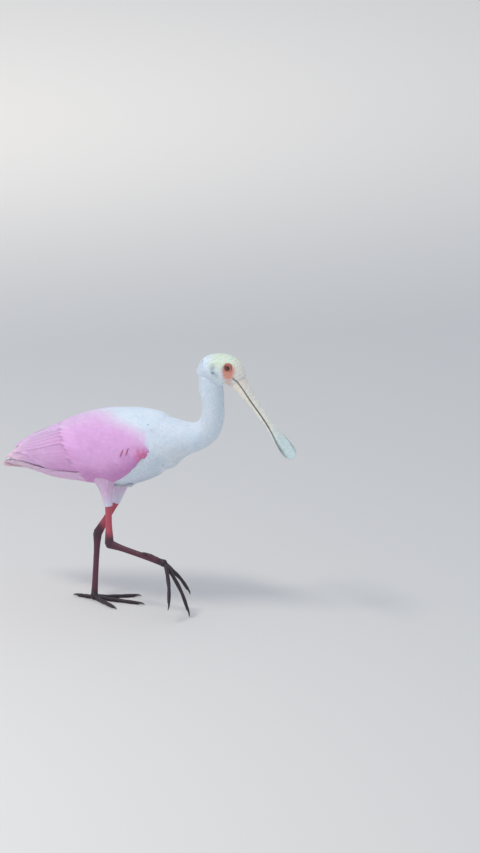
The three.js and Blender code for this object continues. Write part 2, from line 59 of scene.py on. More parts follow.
# The outline of the body with its folded wings: x, middle z, half height, half width
PLUMAGE = np.array([
    [162, 285.6, 28.6, 27.6], [147, 281.5, 34.6, 33.6], [132, 275, 42.5, 41],
    [112, 271, 54.5, 54], [85, 265.6, 62, 61], [57, 261, 65, 64], [15, 256.3, 62, 63.5],
    [-27, 249.1, 54, 57], [-60, 241.5, 45.5, 48], [-90, 236, 35.5, 38],
    [-114, 231.5, 27.3, 29.5], [-134, 224.5, 20.5, 20], [-150, 218.5, 12, 11.5],
    [-160, 213, 5.5, 5]], float)
BILL_LENGTH = 150
BILL_PITCH = math.radians(50)
BILL_ROOT = np.array([254, 0, 387.9])
MOUTH_SHARE = 0.36
BILL_ALONG = np.array([math.cos(BILL_PITCH), 0, -math.sin(BILL_PITCH)])
BILL_UP = np.array([math.sin(BILL_PITCH), 0, math.cos(BILL_PITCH)])
EYE = np.array([243, 13.6, 413])
EYE_RADIUS = 6.6
EAR_X, EAR_Z = 219, 402
LEGS = {
    "left": dict(side=LEFT, hip=(46, 33, 226), knee=(24.5, 29, 156), ankle=(-4, 21, 104),
                 foot=(0, 0, 6)),
    "right": dict(side=RIGHT, hip=(34, -32, 226), knee=(41, -32, 167), ankle=(42.5, -32, 105),
                  foot=(137, -30, 84)),
}
TOE_LENGTHS = dict(middle=78, inner=60, outer=67, hind=31)
TOE_SPREAD = dict(middle=2, inner=-34, outer=37, hind=172)
WING_FRONT, WING_TIP = 121, -152
BED_TIP = -138
# The render's horn and eyes lie this far inside the solids
INSET = 0.15
SOLE_TO_BALL = 5
LIFTED_CURL, LIFTED_PITCH = 0.25, math.radians(44)
SKIN_VOXEL, LEG_VOXEL = 1.3 * MM, 0.6 * MM
BAKE_PATCH = 0.003
JITTER = 0.32
ACROSS = np.array([0, 1, 0])


# Small mathematics

def colour(code):
    """A linear RGB colour from a six-digit sRGB code, by the sRGB curve."""
    v = np.array([int(code[i:i + 2], 16) for i in (1, 3, 5)]) / 255
    return np.where(v <= 0.04045, v / 12.92, ((v + 0.055) / 1.055) ** 2.4)


def step(low, high, v):
    """Smoothstep: 0 below low, 1 above high, 3t^2 - 2t^3 between."""
    t = np.clip((np.asarray(v, float) - low) / (high - low), 0, 1)
    return t * t * (3 - 2 * t)


def mix(a, b, t):
    """A straight mix of a and b by t, where t gets a last axis for the colour channels."""
    t = np.asarray(t)[..., None]
    return np.asarray(a) * (1 - t) + np.asarray(b) * t


def spline(rows, t):
    """Uniform Catmull-Rom through evenly placed rows, read at t in 0..1, ends going on straight."""
    rows = np.asarray(rows, float)
    flat = rows.ndim == 1
    rows = rows[:, None] if flat else rows
    padded = np.vstack([2 * rows[0] - rows[1], rows, 2 * rows[-1] - rows[-2]])
    t = np.clip(np.asarray(t, float), 0, 1) * (len(rows) - 1)
    i = np.minimum(t.astype(int), len(rows) - 2)
    f = (t - i)[..., None]
    a, b, c, d = (padded[i + k] for k in range(4))
    out = b + 0.5 * f * (c - a + f * (2 * a - 5 * b + 4 * c - d + f * (3 * b - a - 3 * c + d)))
    return out[..., 0] if flat else out


def unit(v):
    """Vectors along the last axis at length one."""
    return v / np.maximum(np.linalg.norm(v, axis=-1, keepdims=True), 1e-9)


def ripple(p, scale, seed):
    """A soft random field: five sine waves in seeded directions, from about -1 to 1."""
    r = np.random.default_rng(seed)
    out = 0
    for _ in range(5):
        k = r.normal(size=3)
        k *= 2 * math.pi / (scale * np.linalg.norm(k)) * r.uniform(0.7, 1.5)
        out = out + np.sin(p @ k + r.uniform(0, 6.3))
    return out / 3


class Tube:
    """A body along a smooth curve: elliptical sections square to the curve's own direction."""

    def __init__(self, points, wide, high, side=(0, 1, 0)):
        self.points, self.wide, self.high = np.asarray(points, float), wide, high
        self.side = np.asarray(side, float)

    def axes(self, s):
        s = np.asarray(s, float)
        middle = spline(self.points, s)
        tangent = unit(spline(self.points, np.minimum(s + 2e-3, 1)) -
                       spline(self.points, np.maximum(s - 2e-3, 0)))
        up = unit(np.cross(tangent, self.side))
        return middle, unit(np.cross(up, tangent)), up

    def at(self, s, turn, lift):
        """Middle + across (w + lift) cos(turn) + up (h + lift) sin(turn), turn in degrees."""
        s, turn, lift = np.broadcast_arrays(*(np.asarray(v, float) for v in (s, turn, lift)))
        middle, across, up = self.axes(s)
        w = (spline(self.wide, s) + lift) * np.cos(np.radians(turn))
        h = (spline(self.high, s) + lift) * np.sin(np.radians(turn))
        return middle + across * w[..., None] + up * h[..., None]


def body_tube(rows):
    """A tube in the middle plane from stations of x, z, half height and half width."""
    points = np.stack([rows[:, 0], 0 * rows[:, 0], rows[:, 1]], 1)
    return Tube(points, rows[:, 3], rows[:, 2])


trunk = body_tube(TRUNK)
skull = body_tube(HEAD)
COAT = spline(PLUMAGE, np.linspace(0, 1, 3000))[::-1]


def outline_at(x):
    """Middle z, half height and half width of the outline of the folded wings at each x."""
    return (np.interp(x, COAT[:, 0], COAT[:, k]) for k in (1, 2, 3))


def coat_at(side, x, angle, lift):
    """A place on the outline of the folded wings: an ellipse at each x, moved out by lift along
    its own normal. Angle 0 is the flank and 90 the middle of the back."""
    x, angle, lift = np.broadcast_arrays(*(np.asarray(v, float) for v in (x, angle, lift)))
    middle, h, w = outline_at(x)
    c, s = np.cos(np.radians(angle)), np.sin(np.radians(angle))
    out = np.hypot(c / w, s / h)
    return np.stack([x, side * (w * c + lift * c / w / out), middle + h * s + lift * s / h / out], -1)


LOWER_EDGE = [-2, -28, -46, -53, -54, -52, -50, -42, -26]
UPPER_EDGE = [20, 40, 51, 62, 74, 83, 84, 78, 52]


def wing_angle(x, share):
    """The angle at a share of the way from the wing's lower edge to its upper edge."""
    t = np.clip((WING_FRONT - np.asarray(x, float)) / (WING_FRONT - WING_TIP), 0, 1)
    low, high = spline(LOWER_EDGE, t), spline(UPPER_EDGE, t)
    return low + (high - low) * share


# Meshes

def add_mesh(name, verts, faces, finish, tint=None, maps=None, normals=None):
    """A smooth mesh object from points in millimetres and a list of (n, 3) and (n, 4) arrays of
    faces. tint, maps and normals give colours, UV maps and normals by vertex."""
    mesh = bpy.data.meshes.new(name)
    verts = np.asarray(verts, float).reshape(-1, 3) * MM
    loops = np.concatenate([f.ravel() for f in faces]).astype(np.int32)
    sizes = np.concatenate([np.full(len(f), f.shape[1]) for f in faces])
    mesh.vertices.add(len(verts))
    mesh.vertices.foreach_set("co", verts.astype(np.float32).ravel())
    mesh.loops.add(len(loops))
    mesh.loops.foreach_set("vertex_index", loops)
    mesh.polygons.add(len(sizes))
    starts = np.concatenate([[0], np.cumsum(sizes)[:-1]]).astype(np.int32)
    mesh.polygons.foreach_set("loop_start", starts)
    mesh.polygons.foreach_set("use_smooth", np.full(len(sizes), True))
    mesh.update(calc_edges=True)
    for label, uv in (maps or {}).items():
        layer = mesh.uv_layers.new(name=label)
        layer.data.foreach_set("uv", np.asarray(uv, np.float32).reshape(-1, 2)[loops].ravel())
    if tint is not None:
        layer = mesh.color_attributes.new("Tint", "FLOAT_COLOR", "POINT")
        channels = np.concatenate([tint.reshape(-1, 3), np.ones((len(verts), 1))], 1)
        layer.data.foreach_set("color", channels.astype(np.float32).ravel())
    mesh.validate()
    if normals is not None:
        mesh.normals_split_custom_set_from_vertices(normals.reshape(-1, 3).astype(np.float32))
    mesh.materials.append(finish)
    made = bpy.data.objects.new(name, mesh)
    bpy.context.scene.collection.objects.link(made)
    return made


def piece(made, slot, *replaced):
    """What every piece does: it rides the root body and hides the nodes that it replaces; its slot is not
    used.
    """
    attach(made, "root")
    if replaced:
        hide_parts(*replaced)


def grid_of(a, b):
    """The two arrays of a grid, with a down its rows and b along its columns."""
    return np.meshgrid(a, b, indexing="ij")


def circle(count, whole=360):
    """Evenly placed angles of a whole turn, the last one short of the first."""
    return np.linspace(0, whole, count, endpoint=False)


def grid_faces(rows, columns, closed=True):
    """Quads of a grid of points, closed round its columns or not, facing out."""
    i, j = grid_of(np.arange(rows - 1), np.arange(columns if closed else columns - 1))
    k = (j + 1) % columns
    below, above = i * columns, (i + 1) * columns
    return np.stack([below + j, below + k, above + k, above + j], -1).reshape(-1, 4)


def closed_grid(points):
    """The points and outward faces of a closed skin over rings of points, with a fan from the
    middle of each end ring."""
    rows, columns = points.shape[:2]
    verts = np.concatenate([points.reshape(-1, 3), [points[0].mean(0), points[-1].mean(0)]])
    j = np.arange(columns)
    k = (j + 1) % columns
    last = (rows - 1) * columns
    start = np.stack([np.full(columns, rows * columns), k, j], 1)
    finish = np.stack([np.full(columns, rows * columns + 1), last + j, last + k], 1)
    return verts, faced_out(verts, [grid_faces(rows, columns), np.concatenate([start, finish])])


def holds(verts, faces):
    """Six times the signed volume inside faces: the sum of triple products of their corners."""
    volume = 0.0
    for f in faces:
        for k in range(1, f.shape[1] - 1):
            a, b, c = verts[f[:, 0]], verts[f[:, k]], verts[f[:, k + 1]]
            volume += (np.cross(a, b) * c).sum()
    return volume


def faced_out(verts, faces):
    """The same faces, turned round if together they hold a negative volume."""
    return faces if holds(verts, faces) > 0 else [f[:, ::-1].copy() for f in faces]


def loft(name, points, finish, tint):
    """A closed object over rings of points, with a colour for each point."""
    ends = [tint[0].mean(0), tint[-1].mean(0)]
    return add_mesh(name, *closed_grid(points), finish, np.concatenate([tint.reshape(-1, 3), ends]))


def merged(parts):
    """Several (verts, faces) as one pair."""
    verts, faces, first = [], [], 0
    for v, fs in parts:
        verts.append(v)
        faces += [f + first for f in fs]
        first += len(v)
    return np.concatenate(verts), faces


def mesh_arrays(mesh):
    """The points in millimetres, the faces and the normals of a mesh of triangles and quads."""
    def read(items, what, kind=np.int32, size=1):
        values = np.empty(len(items) * size, kind)
        items.foreach_get(what, values)
        return values

    co = read(mesh.vertices, "co", np.float32, 3)
    normals = read(mesh.vertex_normals, "vector", np.float32, 3)
    loops = read(mesh.loops, "vertex_index")
    sizes = read(mesh.polygons, "loop_total")
    starts = read(mesh.polygons, "loop_start")
    faces = [loops[starts[sizes == k][:, None] + np.arange(k)] for k in (3, 4) if (sizes == k).any()]
    return co.reshape(-1, 3) / MM, faces, normals.reshape(-1, 3)


def one_surface(parts, finish, voxel, rounds):
    """Closed grids over several sets of rings, remeshed as one surface and smoothed: its points,
    faces and normals."""
    rough = add_mesh("rough", *merged([closed_grid(rings) for rings in parts]), finish)
    grain = rough.modifiers.new("one_surface", "REMESH")
    grain.mode = "VOXEL"
    grain.voxel_size = voxel
    soft = rough.modifiers.new("soft", "SMOOTH")
    soft.factor = 0.5
    soft.iterations = rounds
    fine = bpy.data.meshes.new_from_object(rough.evaluated_get(bpy.context.evaluated_depsgraph_get()))
    arrays = mesh_arrays(fine)
    bpy.data.objects.remove(rough)
    return arrays


# Materials

def new_material(name):
    """An empty material and a function that adds a node with settings and links its inputs."""
    made = bpy.data.materials.new(name)
    made.use_nodes = True
    tree = made.node_tree
    tree.nodes.clear()

    def add(kind, links=None, **settings):
        node = tree.nodes.new(kind)
        for key, value in settings.items():
            setattr(node, key, value)
        for key, value in (links or {}).items():
            socket = node.inputs[key]
            if isinstance(value, bpy.types.NodeSocket):
                tree.links.new(value, socket)
            else:
                socket.default_value = value
        return node

    return made, add


def rgba(code):
    """An sRGB code as the four numbers of a colour socket."""
    return (*colour(code), 1.0)


def finish_of(name, rough, specks, bumps=(), grain=160.0, coat=0.0, subsurface=0.0, sheen=0.0):
    """A dielectric surface in the colours of the Tint attribute, times a soft noise. bumps are
    (scale per metre, height in metres, kind) with noise, cells or barbs."""
    made, add = new_material(name)

    def maths(operation, *values):
        return add("ShaderNodeMath", dict(enumerate(values)), operation=operation).outputs[0]

    where = add("ShaderNodeTexCoord").outputs["Object"]
    base = add("ShaderNodeAttribute", attribute_name="Tint").outputs["Color"]
    mottle = add("ShaderNodeTexNoise", {"Vector": where, "Scale": grain, "Detail": 4.0, "Roughness": 0.6})
    spread = add("ShaderNodeMapRange", {0: mottle.outputs["Fac"], 1: 0.3, 2: 0.7, 3: 1 - specks,
                                        4: 1 + specks})
    base = add("ShaderNodeVectorMath", {0: base, 1: spread.outputs[0]}, operation="MULTIPLY").outputs[0]
    shade = {"Base Color": base, "Roughness": rough, "Coat Weight": coat, "Coat Roughness": 0.12,
             "IOR": 1.45, "Subsurface Weight": subsurface, "Subsurface Scale": 0.004,
             "Sheen Weight": sheen, "Sheen Roughness": 0.6}
    for scale, height, kind in bumps:
        if kind == "barbs":
            vane = add("ShaderNodeSeparateXYZ", {0: add("ShaderNodeUVMap", uv_map="Vane").outputs["UV"]})
            away = maths("ABSOLUTE", maths("SUBTRACT", vane.outputs["X"], 0.5))
            slant = maths("MULTIPLY_ADD", away, -0.9, vane.outputs["Y"])
            field = maths("SINE", maths("MULTIPLY", slant, scale))
        elif kind == "cells":
            field = add("ShaderNodeTexVoronoi", {"Vector": where, "Scale": scale},
                        feature="SMOOTH_F1").outputs["Distance"]
        else:
            noise = add("ShaderNodeTexNoise", {"Vector": where, "Scale": scale, "Detail": 5.0})
            field = noise.outputs["Fac"]
        links = {"Height": field, "Distance": height, "Strength": 1.0}
        if "Normal" in shade:
            links["Normal"] = shade["Normal"]
        shade["Normal"] = add("ShaderNodeBump", links).outputs["Normal"]
    shader = add("ShaderNodeBsdfPrincipled", shade)
    add("ShaderNodeOutputMaterial", {"Surface": shader.outputs["BSDF"]})
    return made


# Contour feathers: soft, matt vanes with a faint bloom at a grazing angle
contour_vane = finish_of("feather_contour", 0.82, bumps=[(90.0, 0.00004, "barbs")], sheen=0.25,
                         subsurface=0.12, specks=0.03)
# Flight feathers: closer, smoother vanes, with barbs that slant from the shaft
flight_vane = finish_of("feather_flight", 0.62, bumps=[(420.0, 0.00005, "barbs")], sheen=0.15,
                        subsurface=0.08, specks=0.04)
# The skin under the feathers, and the bare, wrinkled skin of the head and throat
skin_finish = finish_of("bird_skin", 0.62, bumps=[(900.0, 0.00025, "noise"), (2400.0, 0.00012, "cells")],
                        subsurface=0.15, specks=0.08, grain=350.0)
# Bill: dry horn with a rough, faintly pitted surface
horn_finish = finish_of("bill_horn", 0.5, bumps=[(300.0, 0.0005, "noise"), (1500.0, 0.0002, "cells")],
                        specks=0.12, grain=220.0, subsurface=0.05)
# Legs and toes: small hard scales, a little shiny
scale_finish = finish_of("leg_scales", 0.42, bumps=[(650.0, 0.0005, "cells")], specks=0.15, grain=500.0)
# Claws: smooth dark horn
claw_finish = finish_of("claw_horn", 0.3, bumps=[(700.0, 0.0001, "noise")], specks=0.1)
# Eyeball: wet, clear cornea over a red iris
eye_finish = finish_of("wet_eye", 0.15, coat=1.0, specks=0.1, grain=900.0)


# Markings

# The last of these three is a painted shade for the underside of the body
WHITE, COOL, PAINTED_SHADE = colour("#eef5fe"), colour("#e2effd"), colour("#c9cde6")
PINK, BLUSH, DEEP = colour("#f5b6ec"), colour("#f3d8f3"), colour("#d98ccb")
CARMINE, BUFF, THIGH = colour("#e0658f"), colour("#f6d4df"), colour("#f0c6e6")
STROKE, TAIL_WARM = colour("#b83a58"), colour("#e9c0ac")
IRIS, IRIS_RAY, PUPIL, IRIS_RIM, LID_EDGE = (
    colour(c) for c in ("#8e1220", "#5c0a12", "#070506", "#2a0d10", "#6a2a2c"))


def body_angle(p):
    """The angle round the body at a place, from -90 under the belly to 90 on the back."""
    middle, h, w = outline_at(p[..., 0])
    return np.degrees(np.arctan2((p[..., 2] - middle) / h, np.abs(p[..., 1]) / w))


def pink_line(x):
    """The angle up to which the wing is pink: it falls from the middle of the back to the bend."""
    return np.interp(x, [-90, -40, 0, 35, 62, 90, 110, 122], [112, 100, 82, 62, 46, 30, 20, 14])


def rosy(tint, p, pink):
    """From a white tint through blush to pink, across the soft edge of the pink on the back."""
    near = step(-32, 24, pink_line(p[..., 0]) - body_angle(p) + 8 * ripple(p, 70, 3))
    return mix(mix(tint, BLUSH, step(0, 0.55, near)), pink, step(0.35, 1, near))


def body_tint(p):
    """White, with painted shade below, rosy on the back behind the bend of the wing, and pinkish
    under the tail."""
    x, angle = p[..., 0], body_angle(p)
    tint = mix(WHITE, COOL, step(0.1, 0.9, 0.5 + 0.4 * ripple(p, 40, 5)) * 0.6)
    # Painted shade: the underside turns lavender grey, as if lit from above
    tint = mix(tint, PAINTED_SHADE, step(-25, -80, angle) * step(150, 90, x) * 0.7)
    back = step(119, 112, x) * step(-20, 10, angle)
    tint = mix(tint, rosy(tint, p, mix(PINK, BLUSH, 0.45 * step(28, 72, angle))), back)
    under = step(36, 4, x) * step(0, -20, angle)
    return mix(tint, mix(PINK, BUFF, 0.25 + 0.5 * step(-60, -120, x)), 0.9 * under)


def wing_tint(p, share):
    """Rose pink, paler at the upper edge and the wing's end, deeper orchid along the lower edge,
    and carmine on the bend of the wing."""
    x, z = p[..., 0], p[..., 2]
    drift = ripple(p, 55, 9)
    tint = mix(PINK, DEEP, step(0.42, 0.0, share + 0.05 * drift) * step(-110, -20, x))
    tint = mix(tint, DEEP, 0.35 * step(0.2, 1.0, drift) * step(0.8, 0.4, share))
    tint = mix(tint, BLUSH, 0.45 * step(28, 72, body_angle(p)))
    tint = rosy(mix(WHITE, COOL, 0.3 + 0 * x), p, tint)
    tint = mix(tint, BLUSH, 0.3 * step(-30, -90, x))
    tint = mix(tint, BUFF, 0.75 * step(-100, -146, x))
    slope = x - 111 + 0.3 * (z - 262)
    patch = np.exp(-(slope / 10) ** 2 - ((z - 257) / 16) ** 2) * (0.95 + 0.5 * ripple(p, 9, 14))
    return mix(tint, CARMINE, np.clip(patch, 0, 0.8))


CROWN, CHEEK, LORE = colour("#dfecd9"), colour("#dde9ee"), colour("#eae6d9")
EAR, RED_SKIN, EYE_RIM, CHIN = (colour(c) for c in ("#9aa8b6", "#e08f76", "#d08a78", "#e3b9a0"))
HORN_BASE, HORN_MID, HORN_SPOON = colour("#ece8dd"), colour("#ecebe0"), colour("#e3f3ef")
# The dark horn colour serves both the bill's own mottling and the painted shade along the mouth
HORN_MOTTLE_AND_MOUTH_SHADE, HORN_CREAM, HORN_PINK = colour("#4a504c"), colour("#f6efe0"), colour("#e8d5c6")


def head_tint(p):
    """Bare skin: greenish crown, mint cheek, a soft grey mark round the ear, orange red skin round
    the eye and down to the gape, and painted shade along the line in which the mouth ends."""
    x, z = p[..., 0], p[..., 2]
    drift = ripple(p, 16, 12)
    tint = mix(CHEEK, CROWN, step(402, 419, z + 3 * drift))
    tint = mix(tint, LORE, step(244, 256, x) * 0.8)
    tint = mix(tint, COOL, 0.9 * step(224, 208, x + 0.25 * (z - 400) + 3 * drift))
    off = np.hypot(x - 226, (z - 408) * 1.15)
    behind = step(3, -5, x - 226 + 0.4 * (z - 408)) * step(420, 412, z)
    band = np.exp(-((off - 9 - drift) / 4.4) ** 2) * behind
    hole = np.exp(-np.hypot((x - EAR_X) / 2.6, (z - EAR_Z) / 2.2) ** 2)
    tint = mix(tint, EAR, np.clip(np.maximum(0.7 * band, hole), 0, 0.85))
    red = step(1.35, 0.5, np.hypot((x - 244.5) / 10.0, (z - 404.5) / 13.0) + 0.12 * drift)
    tint = mix(tint, RED_SKIN, 0.9 * red)
    tint = mix(tint, CHIN, 0.7 * step(1.2, 0.4, np.hypot((x - 243) / 9.0, (z - 387) / 6.0)))
    # Painted shade of the mouth's line where it runs into the gape
    back = (p - BILL_ROOT) @ BILL_ALONG
    over = (p - BILL_ROOT) @ BILL_UP - 5.0 - 0.12 * back
    return mix(tint, HORN_MOTTLE_AND_MOUTH_SHADE, 0.85 * step(1.5, 0.8, np.abs(over)) * step(-10, -7, back))


def skin_tint(p):
    """Feathered parts as the coat over them, the bare head in its own colours."""
    x, z = p[..., 0], p[..., 2]
    bare = step(-2, 3, z - 390 + 0.62 * (x - 212)) * step(374, 386, z) * (x > 185)
    thighs = step(212, 200, z) * (z < 230)
    return mix(mix(body_tint(p), THIGH, thighs), head_tint(p), bare)


# The skin under the coat, one surface over trunk, neck, head and thighs

def thigh_tube(leg):
    """The feathered thigh: a cone from the hip that narrows onto the bare shank."""
    hip, knee = np.array(leg["hip"], float), np.array(leg["knee"], float)
    return Tube([hip, (hip + knee) / 2, knee], [21, 16, 11, 8.4, 6.3], [27, 20, 12.5, 9, 6.8])


thighs = {label: thigh_tube(leg) for label, leg in LEGS.items()}


def rings_of(tube, rows, columns, lift=0.0):
    """Rings at even steps along a tube."""
    return tube.at(*grid_of(np.linspace(0, 1, rows), circle(columns)), lift)


def skin():
    """The lofts of trunk, skull and thighs, and the rump under the wings, as one surface, moved
    along its normals: folds and a socket round the eye, a brow, wrinkles on the head, and the ear's
    small pit with its rim."""
    parts = [rings_of(trunk, 90, 48, -2.2), rings_of(skull, 40, 48, -0.25)]
    parts += [rings_of(tube, 30, 28, -1.6) for tube in thighs.values()]
    x, turn = grid_of(np.linspace(-146, 20, 50), circle(48))
    parts.append(coat_at(LEFT, x, turn, -6.5 - 3 * step(-60, 20, x)))
    points, faces, normals = one_surface(parts, skin_finish, SKIN_VOXEL, 14)
    x, y, z = points.T
    head = step(380, 392, z + 0.4 * (x - 212)) * (x > 188)
    ring = np.hypot((x - EYE[0]) / 1.1, z - EYE[2])
    sided = np.abs(y) > 8
    folds = 0.38 * np.cos(ring * 2 * math.pi / 2.6) * step(14, 9, ring) * step(5.6, 7, ring) * sided
    wrinkles = 0.16 * ripple(points * [1, 0.6, 1.4], 5.0, 21) + 0.1 * ripple(points, 2.6, 22)
    ear = np.hypot((x - EAR_X) / 1.4, z - EAR_Z)
    pit = -1.5 * np.exp(-(ear / 2.0) ** 2) + 0.45 * np.exp(-((ear - 3.6) / 1.1) ** 2)
    socket = -1.3 * step(7.2, 5.2, ring) * sided
    brow = 0.7 * np.exp(-((x - 243) / 8) ** 2 - ((z - 420.5) / 2.2) ** 2)
    lift = head * (folds + wrinkles + pit * sided + socket + brow * sided)
    points = points + normals * lift[:, None]
    # Painted shade in the folds, the ear pit and the eye socket, and painted light on the brow and
    # ridges: the colour follows the lift
    tint = skin_tint(points) * (1 + 0.5 * np.clip(lift, -0.5, 0.2))[:, None]
    unwrap = 0.1 + 0.8 * (points[:, ::2] + [110, -150]) / [380, 290]
    piece(add_mesh("bird_skin", points, faces, skin_finish, tint, {"UVMap": unwrap}), "bare_head",
          "torso", "neck_lower", "neck_upper", "head", "thigh_left", "thigh_right")


# Feathers

def fullness(t, root, widest, tip):
    """How wide a vane is at t: a quarter sine up to its widest place, then a quarter circle."""
    rise = root + (1 - root) * np.sin(0.5 * math.pi * np.clip(t / widest, 0, 1))
    fall = np.sqrt(np.clip(1 - (np.clip(t - widest, 0, 1) / (1 - widest)) ** 2, 0, 1))
    return rise * np.maximum(fall, tip)


def vane_faces(n, rings, columns):
    """The faces of n closed plates, each of rings times columns points, with end caps."""
    quads = grid_faces(rings, columns)
    count = rings * columns
    first = np.arange(n)[:, None, None] * count
    ends = np.stack([np.arange(columns)[::-1], (rings - 1) * columns + np.arange(columns)])
    if columns > 4:
        j = np.arange(1, columns - 1)
        fans = [np.stack([np.full(columns - 2, e[0]), e[j], e[j + 1]], 1) for e in ends]
        caps = np.concatenate(fans)
    else:
        caps = ends
    return [(quads[None] + first).reshape(-1, 4), (caps[None] + first).reshape(-1, caps.shape[1])]


class Coat:
    """Feathers of one kind, gathered from several calls into one mesh piece."""

    def __init__(self, name, finish, slot, rings, across):
        self.name, self.finish, self.slot = name, finish, slot
        self.rings, self.across = rings, across
        self.t = (1 - (1 - np.linspace(0, 1, rings)) ** 1.5)[None, :, None]
        top = np.linspace(1, -1, across)
        self.a = np.concatenate([top, [0]])[None, None, :]
        self.up = np.concatenate([1 - np.abs(top) ** 1.5, [-0.35]])[None, None, :]
        self.parts = []

    def add(self, place, half, thick, tint, bake, own, outline, shaft=0.0):
        """place(t, side, up) gives points from t along a feather, millimetres to its side and
        millimetres up. Its normals are the body's own, leant towards the vane's by own."""
        n = len(bake)
        t, a = np.broadcast_arrays(self.t + 0 * self.a, self.a + 0 * self.t)
        wide = half * fullness(t, *outline)
        raised = thick * self.up + shaft * np.exp(-(a / 0.12) ** 2) * (self.up > 0)
        points = np.broadcast_to(place(t, wide * a, raised), (n, *t.shape[1:], 3))
        above = np.broadcast_to(place(t, wide * a, raised + 1.0), points.shape)
        body = unit(above - points)
        along = np.gradient(points, axis=1)
        over = np.gradient(points[:, :, :-1], axis=2)
        over = np.concatenate([over, over[:, :, self.across // 2:self.across // 2 + 1]], 2)
        vane = unit(np.cross(along, over))
        vane = vane * np.sign((vane * body).sum(-1, keepdims=True) + 1e-9)
        normals = unit(body * (1 - own) + vane * own)
        shades = np.broadcast_to(tint(points, t), points.shape)
        vanes = np.stack(np.broadcast_arrays(0.5 + 0.5 * a + 0 * t, t + 0 * a), -1)
        vanes = np.broadcast_to(vanes, (n, *vanes.shape[1:]))
        patch = bake[:, None, None, :] + BAKE_PATCH * (vanes - 0.5)
        rows = [points, normals, shades, vanes, patch]
        first = points[0] - points[0].mean((0, 1))
        if holds(first.reshape(-1, 3), vane_faces(1, *first.shape[:2])) < 0:
            rows = [v[:, :, ::-1] for v in rows]
        self.parts.append([v.reshape(-1, v.shape[-1]) for v in rows])

    def done(self, *replaced):
        """Makes the piece, with every vane closed and facing out."""
        points, normals, shades, vanes, patch = (np.concatenate(v) for v in zip(*self.parts))
        columns = self.across + 1
        faces = vane_faces(len(points) // (self.rings * columns), self.rings, columns)
        piece(add_mesh(self.name, points, faces, self.finish, shades,
                       {"OFBake": patch, "Vane": vanes}, normals), self.slot, *replaced)


def varied(n, amount, seed):
    """One seeded random factor near 1 for each feather."""
    r = np.random.default_rng(seed)
    return (1 + amount * r.normal(size=(n, 1, 1, 1))).clip(0.85, 1.1)


def seeds_on(surface, us, low, high, gap):
    """Staggered rows of places: at each u, as many v from low(u) to high(u) as the arc holds."""
    u_all, v_all = [], []
    for row, u in enumerate(us):
        a, b = low(u), high(u)
        if b <= a:
            continue
        arc = surface(np.full(40, u), np.linspace(a, b, 40), 0.0)
        count = max(1, int(np.linalg.norm(np.diff(arc, axis=0), axis=1).sum() / gap))
        v = a + (np.arange(count) + 0.25 + 0.5 * (row % 2)) / count * (b - a)
        v_all.append(v + rng.uniform(-JITTER, JITTER, count) * (b - a) / count)
        u_all.append(np.full(count, u))
    u, v = np.concatenate(u_all), np.concatenate(v_all)
    return u + rng.uniform(-JITTER, JITTER, len(u)) * abs(us[1] - us[0]), v


def laid(surface, u, v, long, rise, lift, heading=-1, aim=0.0, e=(0.5, 0.5)):
    """A place function for feathers rooted at (u, v), which run along heading in u, turned by aim
    degrees, and stand lift + rise t^1.4 above the surface. e are the steps in u and v over which
    the surface's millimetres for each unit of u and v are measured."""
    zero = np.zeros_like(u)
    base = surface(u, v, zero)
    su = np.linalg.norm(surface(u + e[0], v, zero) - base, axis=-1) / e[0]
    sv = np.linalg.norm(surface(u, v + e[1], zero) - base, axis=-1) / e[1]
    columns = (u, v, su, sv, np.radians(zero + aim), zero + long, zero + lift)
    cu, cv, csu, csv, ct, cl, cf = (np.asarray(q)[:, None, None] + 0.0 for q in columns)

    def place(t, side, up):
        way = t * cl
        uu = cu + heading * (way * np.cos(ct) - side * np.sin(ct)) / csu
        vv = cv + (way * np.sin(ct) + side * np.cos(ct)) / csv
        return surface(uu, vv, cf + rise * t ** 1.4 + up)

    return place


def spread_bake(u, v, low, high):
    """The place of each root on an unwrap of the skin: u and v as shares of their ranges."""
    span = np.array(high, float) - np.array(low, float)
    return 0.02 + 0.96 * np.clip((np.stack([u, v], 1) - low) / span, 0, 1)


def body_feathers(coat, surface, us, low, high, gap, long, half, lift, seed, rise=0.7, thick=0.22,
                  keep=None, tint=body_tint, vary=0.035, own=0.3, heading=-1, e=(0.5, 0.5)):
    """Staggered rows of small feathers over a surface, in the body's own colours."""
    u, v = seeds_on(surface, us, low, high, gap)
    if keep:
        kept = keep(u, v)
        u, v = u[kept], v[kept]
    n = len(u)
    r = np.random.default_rng(seed)
    size = r.uniform(0.88, 1.12, n)
    place = laid(surface, u, v, long(u) * size, rise, lift(u) + r.uniform(-0.12, 0.12, n), heading,
                 r.uniform(-5, 5, n), e)
    shade = varied(n, vary, seed)
    coat.add(place, (half(u) * size)[:, None, None], thick, lambda p, t: tint(p) * shade,
             spread_bake(u, v, (min(us), -180), (max(us), 180)), own, (0.5, 0.62, 0.12))


def constant(value):
    """A function that gives one value for any place."""
    return lambda *_: value


def neck_coat():
    """Small close feathers from the throat and nape down to the breast, longer lower down."""
    coat = Coat("coat_neck", contour_vane, "white_plumage", 4, 3)
    body_feathers(coat, trunk.at, np.linspace(0.5, 0.985, 92), constant(-180), constant(180), 2.1,
                  lambda u: 13 - 8 * step(0.6, 0.98, u), lambda u: 3.0 - 1.4 * step(0.6, 0.98, u),
                  lambda u: -0.7 - 1.8 * step(0.91, 0.975, u), seed=2, rise=0.8, e=(0.002, 0.5))
    coat.done()


